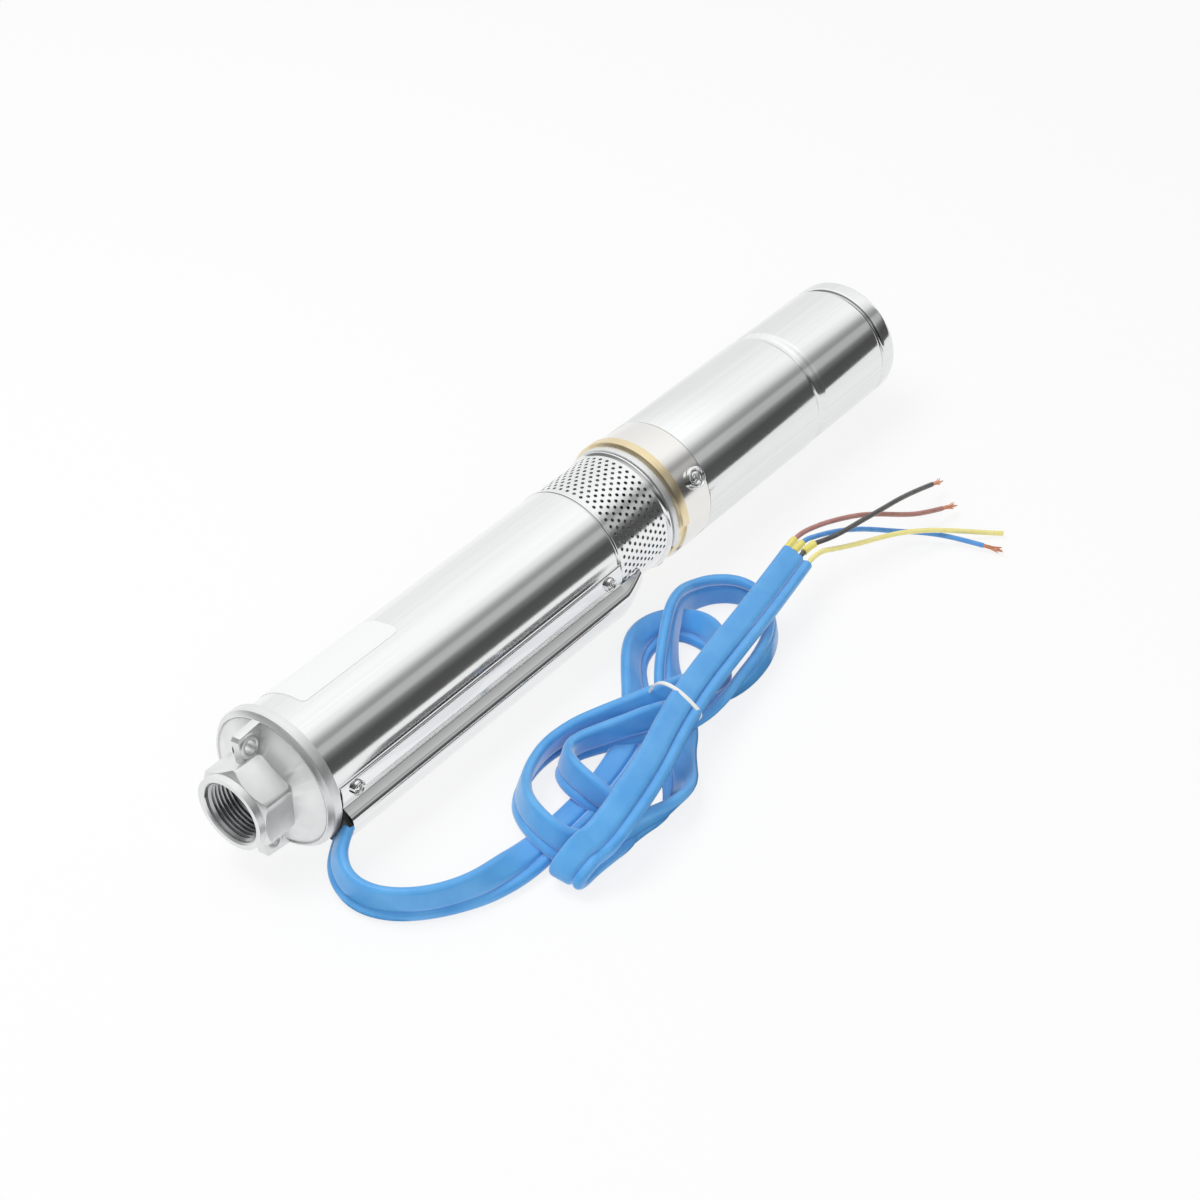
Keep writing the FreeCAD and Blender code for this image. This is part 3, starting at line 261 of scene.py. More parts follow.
def coreInsulation(name, colour, shade, roughness=0.35):
    # Thin PVC insulation on one core, smooth and a little glossy, uneven over about 4.5 mm.
    material, tree, main, place = newMaterial(name, Base_Color=colour, Roughness=roughness)
    cloud = add(tree, "ShaderNodeTexNoise", links={"Vector": place}, Scale=everyMm(4.55), Detail=2.0)
    add(tree, "ShaderNodeValToRGB", links={0: cloud.outputs["Fac"]}, to=main.inputs["Base Color"],
        stops=[(0.35, shade), (0.65, colour)])
    add(tree, "ShaderNodeBump", links={"Height": cloud.outputs["Fac"]}, to=main.inputs["Normal"],
        Strength=0.08, Distance=0.00003)
    return material


def mouldedPlastic(name, colour, roughness):
    # Moulded acetal, nylon or rubber, or pressed carbon: an even surface with a soft shine. The
    # moulded skin is too fine to show, so it is drawn at 0.7 mm.
    material, tree, main, place = newMaterial(name, Base_Color=colour, Roughness=roughness)
    skin = add(tree, "ShaderNodeTexNoise", links={"Vector": place}, Scale=everyMm(0.714), Detail=2.0)
    add(tree, "ShaderNodeBump", links={"Height": skin.outputs["Fac"]}, to=main.inputs["Normal"],
        Strength=0.15, Distance=0.00003)
    return material


def rawMetal(name, colour, roughness, grainSize):
    # Laminated, sintered or drawn metal left as it was made: a plain surface with a soft shine.
    # Its grain is drawn as coarse as it needs to show.
    material, tree, main, place = newMaterial(name, Base_Color=colour, Metallic=1.0, Roughness=roughness)
    grain = add(tree, "ShaderNodeTexNoise", links={"Vector": place}, Scale=everyMm(grainSize), Detail=3.0)
    add(tree, "ShaderNodeBump", links={"Height": grain.outputs["Fac"]}, to=main.inputs["Normal"],
        Strength=0.3, Distance=0.00005)
    return material


def labelFilm():
    # White self-adhesive label film, slightly glossy, with a faint wave every 3 mm.
    material, tree, main, place = newMaterial("labelFilm", Base_Color="#F4F5F5", Roughness=0.32)
    cloud = add(tree, "ShaderNodeTexNoise", links={"Vector": place}, Scale=everyMm(3.33), Detail=2.0)
    add(tree, "ShaderNodeBump", links={"Height": cloud.outputs["Fac"]}, to=main.inputs["Normal"],
        Strength=0.05, Distance=0.00002)
    return material


finish = {
    "polished_stainless": polishedStainless(),
    "brushed_stainless": brushedStainless(),
    "cast_stainless": castStainless(),
    "shaft_steel": turnedSteel(),
    "brass": turnedBrass(),
    "core_iron": rawMetal("laminatedIron", "#8C8B88", 0.5, 1.11),
    "magnet": rawMetal("sinteredMagnet", "#5E5D5C", 0.45, 0.667),
    "copper": rawMetal("bareCopper", "#E39A78", 0.3, 1.43),
    "seal_carbon": mouldedPlastic("sealCarbon", "#2A2A2C", 0.4),
    "white_acetal": mouldedPlastic("whiteAcetal", "#ECEBE6", 0.45),
    "black_rubber": mouldedPlastic("blackRubber", "#1E1F21", 0.5),
    "blue_sheath": bluePvc(),
    "white_nylon": mouldedPlastic("whiteNylon", "#F4F5F4", 0.35),
    "brown_insulation": coreInsulation("brownInsulation", "#C08D84", "#B07C73"),
    "black_insulation": coreInsulation("blackInsulation", "#5E5D5C", "#4E4D4C"),
    "blue_insulation": coreInsulation("blueInsulation", "#62A2E6", "#5695DE"),
    "earth_insulation": coreInsulation("earthInsulation", "#FFF6A8", "#FCF09A"),
    "clear_sleeve": coreInsulation("yellowSleeve", "#F7EC84", "#F1E46E", 0.28),
}
label = labelFilm()
print("materials", len(finish) + 1)


def dress(piece, slot, body="pump"):
    piece.data.materials.clear()
    piece.data.materials.append(finish[slot])
    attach(piece, body)


# Every CAD node takes the finish of its own slot.
nodeSlots = {part["node"]: part["material_slot"] for part in frame["record"]["subparts"]}
for name, node in frame["nodes"].items():
    node.data.materials.clear()
    node.data.materials.append(finish[nodeSlots[name]])


# Turned pieces
def lathe(name, outline, segments=192, gap=None):
    # A closed outline of (station, radius) pairs, turned about the pump's axis. gap is
    # (first station, middle angle, half angle) of a part that is cut back.
    verts = [onPump(station, radius, 360 * k / segments)
             for k in range(segments) for station, radius in outline]
    count = len(outline)
    faces = gridFaces(segments, count, loop=True, tube=True)
    if gap:
        start, middle, half = gap
        faces = [face for face in faces
                 if min(outline[face[0] % count][0], outline[face[1] % count][0]) < start
                 or abs(360 * (face[0] // count + 0.5) / segments - middle) >= half]
    return newPiece(name, verts, faces, 28)


def arcSteps(centre, radius, start, end, steps):
    # Points of a rounded corner in an outline, from one angle to another.
    points = []
    for k in range(steps + 1):
        turn = math.radians(start + (end - start) * k / steps)
        points.append((centre[0] + radius * math.cos(turn), centre[1] + radius * math.sin(turn)))
    return points


tubeSizes = {"radius": 35.0, "wall": 1.0, "start": 4.5, "end": 224.0, "endSink": 0.5,
             "bead": 1.05, "beadStart": 221.9, "beadSink": 0.3,
             "dipBefore": 1.0, "dipGap": 0.4, "dipDepth": 0.9,
             "slotStart": 212.0, "slotMiddle": 209, "slotHalf": 17}


def pumpTube(size):
    # The rolled bead stands near the tube's end, behind a small dip. The slot lets the cable in.
    radius, bead, beadStart = size["radius"], size["bead"], size["beadStart"]
    inner = radius - size["wall"]
    outline = [(size["start"], inner), (size["start"], radius), (size["slotStart"], radius),
               (beadStart - size["dipBefore"], radius),
               (beadStart - size["dipGap"], radius - size["dipDepth"])]
    outline += arcSteps((beadStart + bead, radius - size["beadSink"]), bead, 180, 0, 10)
    outline += [(size["end"], radius - size["endSink"]), (size["end"], inner), (size["slotStart"], inner)]
    slot = (size["slotStart"] - 0.1, size["slotMiddle"], size["slotHalf"])
    tube = lathe("stainless_pump_tube", outline, gap=slot)
    dress(tube, "polished_stainless")
    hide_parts("pump_tube")


collarSizes = {"start": 278.5, "end": 300.15, "radius": 36.7, "inner": 35.4, "edge": 0.5}


def motorCollar(size):
    edge = size["edge"]
    corner = (size["end"] - edge, size["radius"] - edge)
    outline = [(size["start"], size["inner"]), (size["start"], size["radius"])]
    outline += arcSteps(corner, edge, 90, 0, 4) + [(size["end"], size["inner"])]
    collar = lathe("brushed_motor_collar", outline)
    dress(collar, "brushed_stainless")
    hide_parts("motor_collar")


shellSizes = {"start": 300.3, "groove": 404.4, "grooveEnd": 413.2, "end": 471.0, "radius": 36.6,
              "tailRadius": 36.1, "depth": 2.3, "wall": 1.2, "frontEdge": (0.2, 0.1), "shoulder": 1.4,
              "turnIn": 3.4, "turnMiddle": 3, "turnRound": 2.6, "rimSink": 2.2, "rimFoot": 3.2}


def motorShell(size):
    # The rolled groove is a smooth valley, and the shell past it is a little narrower.
    radius, tail, end, bend = size["radius"], size["tailRadius"], size["end"], size["turnRound"]
    edge, sink = size["frontEdge"]
    valley = size["groove"] - size["shoulder"]
    outer = [(size["start"], radius - sink), (size["start"] + edge, radius), (valley, radius)]
    steps = 18
    width = size["grooveEnd"] - size["groove"] + size["shoulder"]
    for k in range(1, steps + 1):
        share = k / steps
        low = size["depth"] * math.sin(math.pi * share ** 0.85) ** 1.3
        outer.append((valley + width * share, radius - (radius - tail) * share - low))
    outer += [(end - size["turnIn"], tail)]
    outer += arcSteps((end - size["turnMiddle"], tail - bend), bend, 82, 20, 6)
    outer += [(end, tail - size["rimSink"]), (end, tail - size["rimFoot"])]
    inner = [(station - 0.1, high - size["wall"]) for station, high in reversed(outer[1:-3])]
    inner.append((size["start"], radius - size["wall"]))
    shell = lathe("stainless_motor_shell", outer + inner)
    dress(shell, "polished_stainless")
    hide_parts("motor_shell")


capSizes = {"start": 458.0, "end": 485.0, "radius": 35.9, "neck": 30.9, "round": 5.0, "inner": 34.85,
            "centre": 0.001, "seatEnd": 466.0, "neckStart": 467.4, "neckEnd": 471.4, "back": 471.6,
            "backRadius": 33.8, "backRound": 2.6, "rim": 5.6, "bevel": (0.5, 6.4), "face": (1.5, 7.4)}


def endCap(size):
    # From the plug in the shell over the neck and the domed edge to the sunk end face.
    radius, end, backRound = size["radius"], size["end"], size["backRound"]
    outline = [(size["start"], size["centre"]), (size["start"], size["inner"]),
               (size["seatEnd"], size["inner"]), (size["neckStart"], size["neck"]),
               (size["neckEnd"], size["neck"]), (size["back"], size["backRadius"])]
    outline += arcSteps((size["back"] + backRound, radius - backRound), backRound, 175, 90, 8)
    outline += arcSteps((end - size["round"], radius - size["round"]), size["round"], 90, 0, 10)
    outline += [(end, radius - size["rim"])]
    outline += [(end - deep, radius - inset) for deep, inset in (size["bevel"], size["face"])]
    outline += [(end - size["face"][0], size["centre"])]
    cap = lathe("stainless_end_cap", outline)
    dress(cap, "polished_stainless")
    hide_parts("end_cap")


pumpTube(tubeSizes)
motorCollar(collarSizes)
motorShell(shellSizes)
endCap(capSizes)
print("turned sheet pieces")


# Perforated strainer
strainerSizes = {"start": 224.3, "end": 264.5, "radius": 34.6, "wall": 0.6, "rows": 11, "around": 48,
                 "hole": 1.05, "edge": 1.6, "plainFrom": 192.0, "plainTo": 226.0,
                 "windowMiddle": 209, "windowHalf": 16.6, "windowEnd": 237.5,
                 "beadRadius": 36.0, "beadEnd": 267.4}


def strainerSheet(size):
    # Each cell of the sheet is a rectangle with a round hole, in staggered rows. The cells
    # from plainFrom to plainTo, round the guard, have no hole.
    verts, faces = [], []
    start, end, edge, radius = size["start"], size["end"], size["edge"], size["radius"]
    pitch = (end - start - 2 * edge) / size["rows"]
    half = 180 / size["around"]

    def vert(station, angle):
        verts.append(onPump(station, radius, angle))
        return len(verts) - 1

    corners = [(1, 0), (1, 1), (0, 1), (-1, 1), (-1, 0), (-1, -1), (0, -1), (1, -1)]
    count = len(corners)
    sides = 2 * count
    hole = size["hole"]
    holeTurn = math.degrees(hole / radius)
    for row in range(size["rows"]):
        station = start + edge + pitch * (row + 0.5)
        for k in range(size["around"]):
            angle = 2 * half * (k + 0.5 * (row % 2))
            border = [vert(station + u * pitch / 2, angle + v * half) for u, v in corners]
            if size["plainFrom"] < angle % 360 < size["plainTo"]:
                faces.append(border)
                continue
            circle = []
            for j in range(sides):
                turn = math.radians(360 / sides * j)
                circle.append(vert(station + hole * math.cos(turn), angle + holeTurn * math.sin(turn)))
            for j in range(count):
                before, between, after = circle[2 * j], circle[2 * j + 1], circle[(2 * j + 2) % sides]
                faces.append((border[j], between, before))
                faces.append((border[j], border[(j + 1) % count], after, between))
    # A plain edge along each end of the sheet.
    for k in range(2 * size["around"]):
        first, second = k * half, (k + 1) * half
        for near, far in ((start, start + edge), (end - edge, end)):
            faces.append([vert(near, first), vert(near, second), vert(far, second), vert(far, first)])
    sheet = newPiece("perforated_strainer", verts, faces, 30)
    work = bmesh.new()
    work.from_mesh(sheet.data)
    bmesh.ops.remove_doubles(work, verts=work.verts, dist=0.00002)
    # The window under the guard's hood, where the cable goes in.
    window = []
    for face in work.faces:
        middle = face.calc_center_median()
        angle = math.degrees(math.atan2(middle.z - pump["axisZ"], middle.y - pump["axisY"])) % 360
        station = middle.x * 1000 + pump["firstStation"]
        if abs(angle - size["windowMiddle"]) < size["windowHalf"] and station < size["windowEnd"]:
            window.append(face)
    bmesh.ops.delete(work, geom=window, context="FACES")
    bmesh.ops.recalc_face_normals(work, faces=work.faces)
    work.to_mesh(sheet.data)
    work.free()
    thicken(sheet, size["wall"], 30)
    dress(sheet, "polished_stainless")
    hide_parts("strainer")


def strainerRim(size):
    # The rolled rim stands on the sheet's end. Its outline runs from foot to foot.
    start, end = size["end"], size["beadEnd"]
    radius, top, foot = size["radius"], size["beadRadius"], size["radius"] - size["wall"]
    outline = [(start, foot), (start, radius), (start + 0.5, radius + 0.9), (start + 1.0, top),
               (end - 0.9, top), (end - 0.3, radius + 1.0), (end, radius + 0.2), (end, foot)]
    rim = lathe("strainer_rim", outline)
    dress(rim, "polished_stainless")


strainerSheet(strainerSizes)
strainerRim(strainerSizes)
print("strainer")


# Cast, turned and moulded pieces start from the CAD solid, with their edges rounded
def softened(node, name, width, sharp=35, angle=30):
    # width is the rounding's in millimetres, sharp the least angle of an edge that gets it,
    # and angle the least at which the shading still breaks.
    mesh = frame["nodes"][node].data.copy()
    mesh.name = name
    piece = bpy.data.objects.new(name, mesh)
    scene.collection.objects.link(piece)
    work = bmesh.new()
    work.from_mesh(mesh)
    bmesh.ops.remove_doubles(work, verts=work.verts, dist=0.000004)
    bmesh.ops.dissolve_limit(work, angle_limit=math.radians(1.0), verts=work.verts, edges=work.edges)
    work.to_mesh(mesh)
    work.free()
    bevel = piece.modifiers.new("rounded edges", "BEVEL")
    bevel.width = width / 1000
    bevel.segments = 3
    bevel.limit_method = "ANGLE"
    bevel.angle_limit = math.radians(sharp)
    bevel.use_clamp_overlap = True
    applyModifiers(piece)
    smooth(piece.data, angle)
    dress(piece, nodeSlots[node])
    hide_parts(node)


softened("discharge_head", "cast_discharge_head", 0.35, angle=20)
softened("inlet_bracket", "inlet_casting", 0.3)
softened("motor_bracket", "brass_motor_bracket", 0.3)
softened("cable_grommet", "rubber_grommet", 0.6, sharp=30)
print("castings")


# Folded guard over the flat cable: flanges on the tube, steep walls and a crowned top
guardSizes = {"start": 8.0, "end": 221.8, "hoodEnd": 238.5, "hoodDrop": 5.2, "outer": 35.85, "wall": 0.45,
              "flangeHalf": 41.9, "edge": 0.85, "edgeWidth": 1.5,
              "foot": 12.4, "footTurn": 3, "footRound": 1.1,
              "shoulderAcross": 6.8, "shoulderUp": 38.0, "shoulderRound": 5.3, "lean": 89, "crownLean": 26,
              "crown": 45.0, "middle": 209.0}


def roundedCorner(before, corner, after, radius, steps=7):
    # A fold: the corner between two straight runs is replaced by an arc.
    a, b, c = Vector(before), Vector(corner), Vector(after)
    into, away = (a - b).normalized(), (c - b).normalized()
    half = into.angle(away) / 2
    reach = radius / math.tan(half)
    centre = b + (into + away).normalized() * (radius / math.sin(half))
    first, last = b + into * reach, b + away * reach
    points = []
    for k in range(steps + 1):
        spoke = (first - centre).slerp(last - centre, k / steps)
        points.append(centre + spoke.normalized() * radius)
    return points


def guardProfile(size, drop, flanged):
    # Half of the outer outline, upright, from the flange's edge to the top of the crown.
    outer, foot = size["outer"], size["foot"]
    fold = math.degrees(math.asin(foot / outer))
    edgeTurn = math.degrees(size["edgeWidth"] / outer)
    arc = []
    for k in range(7):
        turn = math.radians(15 * k)
        angle = math.radians(size["flangeHalf"] - edgeTurn * (1 - math.cos(turn)))
        radius = outer - size["edge"] * (1 - math.sin(turn))
        arc.append(Vector((-radius * math.sin(angle), radius * math.cos(angle))))
    start, end = size["flangeHalf"] - edgeTurn, fold + size["footTurn"]
    for k in range(1, 13):
        turn = math.radians(start + (end - start) * k / 12)
        arc.append(Vector((-outer * math.sin(turn), outer * math.cos(turn))))
    across, up, bend = size["shoulderAcross"], size["shoulderUp"] - drop, size["shoulderRound"]
    shoulder = []
    for k in range(11):
        turn = math.radians(size["lean"] + (size["crownLean"] - size["lean"]) * k / 10)
        shoulder.append(Vector((-across - bend * math.sin(turn), up + bend * math.cos(turn))))
    footPoint = (-foot, math.sqrt(outer ** 2 - foot ** 2))
    folded = roundedCorner(arc[-1], footPoint, shoulder[0], size["footRound"])
    last = shoulder[-1]
    crown = size["crown"] - drop
    top = [Vector((last.x * share, crown - (crown - last.y) * share ** 2))
           for share in (0.8, 0.6, 0.4, 0.2, 0.0)]
    return (arc + folded if flanged else [Vector(footPoint)]) + shoulder + top


def cableGuard(size):
    # The flanged part lies along the tube, and the hood falls towards the strainer's window.
    verts = []

    def lay(station, profile):
        for u, h in [(p.x, p.y) for p in profile] + [(-p.x, p.y) for p in reversed(profile[:-1])]:
            verts.append(onPump(station, math.hypot(u, h), size["middle"] - math.degrees(math.atan2(u, h))))
        return 2 * len(profile) - 1

    stations = (size["start"], size["start"] + 0.4, 60, 120, 180, size["end"])
    for station in stations:
        count = lay(station, guardProfile(size, 0, True))
    faces = gridFaces(len(stations), count)
    hoodRows = 9
    base = len(verts)
    for k in range(hoodRows):
        share = k / (hoodRows - 1)
        station = size["end"] + (size["hoodEnd"] - size["end"]) * share
        count = lay(station, guardProfile(size, size["hoodDrop"] * share ** 1.25, False))
    faces += gridFaces(hoodRows, count, base)
    guard = newPiece("folded_cable_guard", verts, faces, 50)
    work = bmesh.new()
    work.from_mesh(guard.data)
    bmesh.ops.remove_doubles(work, verts=work.verts, dist=0.00001)
    bmesh.ops.recalc_face_normals(work, faces=work.faces)
    out = outFrom(size["middle"])
    if sum(f.normal.dot(out) * f.calc_area() for f in work.faces) < 0:
        bmesh.ops.reverse_faces(work, faces=work.faces)
    work.to_mesh(guard.data)
    work.free()
    thicken(guard, size["wall"], 40)
    dress(guard, "polished_stainless")
    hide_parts("cable_guard")


cableGuard(guardSizes)
print("cable guard")


# Outlet thread: one helical ridge on the wall of the bore
threadSizes = {"start": -31.3, "turns": 8.2, "pitch": 2.309, "wall": 16.62, "crest": 15.35, "steps": 60,
               "fadeSteps": 20, "flatFrom": 0.44, "flatTo": 0.56}


def outletThread(size):
    # The ridge fades in and out at its ends. Its crest is flat over a part of the pitch.
    verts = []
    total = int(size["turns"] * size["steps"])
    for k in range(total + 1):
        angle = 360 * k / size["steps"]
        station = size["start"] + size["pitch"] * k / size["steps"]
        fade = min(1, k / size["fadeSteps"], (total - k) / size["fadeSteps"])
        crest = size["wall"] - (size["wall"] - size["crest"]) * fade
        for along, radius in ((0, size["wall"]), (size["flatFrom"], crest), (size["flatTo"], crest),
                              (1, size["wall"])):
            verts.append(onPump(station + along * size["pitch"], radius, angle))
    ridge = newPiece("outlet_thread_ridge", verts, gridFaces(total + 1, 4), 25)
    # The ridge takes the darker shaft-steel finish, which paints shade into the bore.
    dress(ridge, "shaft_steel")


outletThread(threadSizes)


# Raised lip round the front of the head's rim
lipSizes = {"inner": 35.3, "outer": 38.45, "front": -3.3, "face": -1.4, "back": 0.4,
            "height": 0.8, "edge": 0.9}


def rimLip(size):
    # From the lip's inner foot over its round, down to the rim's face and round its edge.
    inner, outer, front, height = size["inner"], size["outer"], size["front"], size["height"]
    outline = [(front + 1.2, inner - 0.2), (front + 0.1, inner + 0.1)]
    outline += arcSteps((front + height, inner + height + 0.1), height, 250, 160, 5)
    outline += [(front + 0.5, inner + 1.5), (size["face"], outer - 0.7)]
    outline += arcSteps((size["face"] + 1.0, outer - size["edge"]), size["edge"], 140, 90, 4)
    outline += [(size["back"], outer), (size["back"], inner)]
    lip = lathe("head_rim_lip", outline)
    dress(lip, "cast_stainless")


rimLip(lipSizes)


# Raised rings round the eyes of the two lifting ears
earSizes = {"station": -12.4, "fromAxis": 28.0, "hole": 3.5, "outer": 6.6, "height": 0.9,
            "turns": (81, 261), "halfThickness": 2.5}


def earRings(size):
    # Each ring stands on both faces of its ear: (radius, share of the ring's height).
    hole, outer = size["hole"], size["outer"]
    profile = [(outer, 0), (outer - 0.5, 0.75), (outer - 1.2, 1.0),
               (hole + 0.5, 1.0), (hole + 0.05, 0.6), (hole + 0.05, -1.0)]
    count = len(profile)
    steps = 48
    for number, turn in enumerate(size["turns"], 1):
        out = outFrom(turn)
        side = alongPump.cross(out)
        centre = onPump(size["station"], size["fromAxis"], turn)
        verts, faces = [], []
        for face in (-1, 1):
            base = len(verts)
            for k in range(steps):
                angle = 2 * math.pi * k / steps
                spoke = alongPump * math.cos(angle) + out * math.sin(angle)
                for radius, rise in profile:
                    height = size["halfThickness"] + rise * size["height"]
                    verts.append(centre + spoke * (radius / 1000) + side * (face * height / 1000))
            faces += gridFaces(steps, count, base, loop=True)
        ring = newPiece("ear_ring_%d" % number, verts, faces, 40)
        dress(ring, "cast_stainless")


earRings(earSizes)


# Screws with a rim, a sunk ring and a domed middle with a cross recess
guardScrewSizes = {"stations": (18.0, 211.8), "angles": (177.4, 240.6), "head": 3.9, "height": 2.2,
                   "shank": 1.95, "shankEnd": 30.7, "seat": 35.85}
motorScrewSizes = {"stations": (292.9,), "angles": (145.8, 325.8), "head": 6.2, "height": 2.6,
                   "shank": 2.45, "shankEnd": 30.0, "seat": 36.7}
recessSizes = {"arm": 0.1, "reach": 0.46, "depth": 0.7, "turn": 0.5}


def headHeight(share, full):
    # The head's height at a share of its radius: domed middle, sunk ring, raised rim.
    if share > 0.7:
        return full * (0.3 + 0.6 * math.sin(math.pi * (share - 0.7) / 0.42))
    if share > 0.6:
        return full * 0.08
    return full * (0.35 + 0.65 * math.sqrt(1 - (share / 0.601) ** 2.4))


def panScrews(name, node, size, recess):
    # The head is a grid of rings. The recess sinks the points inside a cross.
    verts, faces = [], []
    rings, steps = 24, 72
    head, full = size["head"], size["height"]
    arm, reach = head * recess["arm"], head * recess["reach"]
    places = [(station, angle) for station in size["stations"] for angle in size["angles"]]
    for station, angle in places:
        base = len(verts)
        out = outFrom(angle)
        side = alongPump.cross(out)
        foot = onPump(station, size["seat"], angle)

        def point(radius, turn, height):
            spoke = alongPump * math.cos(turn) + side * math.sin(turn)
            return foot + spoke * (radius / 1000) + out * (height / 1000)

        for k in range(1, rings + 1):
            radius = head * k / rings
            for j in range(steps):
                turn = 2 * math.pi * j / steps
                height = headHeight(k / rings, full)
                u = abs(radius * math.cos(turn + recess["turn"]))
                v = abs(radius * math.sin(turn + recess["turn"]))
                near, far = min(u, v), max(u, v)
                if near < arm and far < reach:
                    height -= full * recess["depth"] * (1 - far / reach * 0.4)
                verts.append(point(radius, turn, height))
        verts.append(foot + out * (full * 0.3 / 1000))
        centre = len(verts) - 1
        for j in range(steps):
            following = (j + 1) % steps
            faces.append((centre, base + j, base + following))
            for k in range(rings - 1):
                a = base + k * steps
                faces.append((a + j, a + steps + j, a + steps + following, a + following))
        last = base + (rings - 1) * steps
        skirt = len(verts)
        for height, radius in ((0.12, head), (0, head - 0.15), (0, size["shank"]),
                               (size["shankEnd"] - size["seat"], size["shank"])):
            for j in range(steps):
                verts.append(point(radius, 2 * math.pi * j / steps, height))
        rows = [last] + [skirt + steps * k for k in range(4)]
        for a, b in zip(rows, rows[1:]):
            for j in range(steps):
                following = (j + 1) % steps
                faces.append((a + j, b + j, b + following, a + following))
        faces.append([rows[-1] + j for j in reversed(range(steps))])
    screws = newPiece(name, verts, faces, 32)
    dress(screws, "polished_stainless")
    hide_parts(node)


panScrews("guard_pan_screws", "guard_screws", guardScrewSizes, recessSizes)
panScrews("motor_pan_screws", "motor_screws", motorScrewSizes, recessSizes)
print("thread, rings and screws")


# Bare white label on the pump tube
labelSizes = {"start": 20.0, "end": 88.0, "from": 22.0, "to": 94.0, "radius": 35.06, "sink": 0.05,
              "thickness": 0.08, "corner": 3.0}


def bareLabel(size):
    # Two skins of strips across the film, closed along its edges. Near its sides the strips
    # are shorter, for the round corners.
    verts, faces = [], []
    steps = 96
    corner = size["corner"]
    for radius in (size["radius"] - size["sink"], size["radius"] + size["thickness"]):
        for k in range(steps + 1):
            angle = size["from"] + (size["to"] - size["from"]) * k / steps
            near = math.radians(min(angle - size["from"], size["to"] - angle)) * size["radius"]
            inset = corner - math.sqrt(corner ** 2 - max(0, corner - near) ** 2)
            verts.append(onPump(size["start"] + inset, radius, angle))
            verts.append(onPump(size["end"] - inset, radius, angle))
    top = 2 * (steps + 1)
    for k in range(steps):
        a = 2 * k
        faces.append((a, a + 2, a + 3, a + 1))
        faces.append((top + a, top + a + 1, top + a + 3, top + a + 2))
        faces.append((a, a + top, a + top + 2, a + 2))
        faces.append((a + 1, a + 3, a + 3 + top, a + 1 + top))
    faces.append((0, 1, top + 1, top))
    end = 2 * steps
    faces.append((end, end + top, end + top + 1, end + 1))
    sheet = newPiece("bare_label", verts, faces, 30)
    sheet.data.materials.append(label)
    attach(sheet, "pump")


bareLabel(labelSizes)


# Flat cable: one length from the guard's mouth to the cut sheath
cableSizes = {"width": 19.0, "thickness": 5.8, "earthMiddle": 6.6, "groove": 3.5, "grooveHalf": 1.1}


def cableOutline(size):
    # Across the width: three cores under a flat web, a groove, then the round earth core.
    half, thin = size["width"] / 2, size["thickness"] / 2
    top = [(-half + thin - thin * math.cos(math.radians(a)), thin * math.sin(math.radians(a)))
           for a in (0, 22, 45, 68, 90)]
    top += [(0.0, thin), (1.9, thin - 0.05), (2.7, thin - 0.5), (size["groove"], size["grooveHalf"])]
    middle = size["earthMiddle"]
    top += [(middle - thin * math.cos(math.radians(a)), thin * math.sin(math.radians(a)))
            for a in (42, 66, 90, 112, 135, 158, 180)]
    return top + [(w, -t) for w, t in reversed(top[1:-1])]


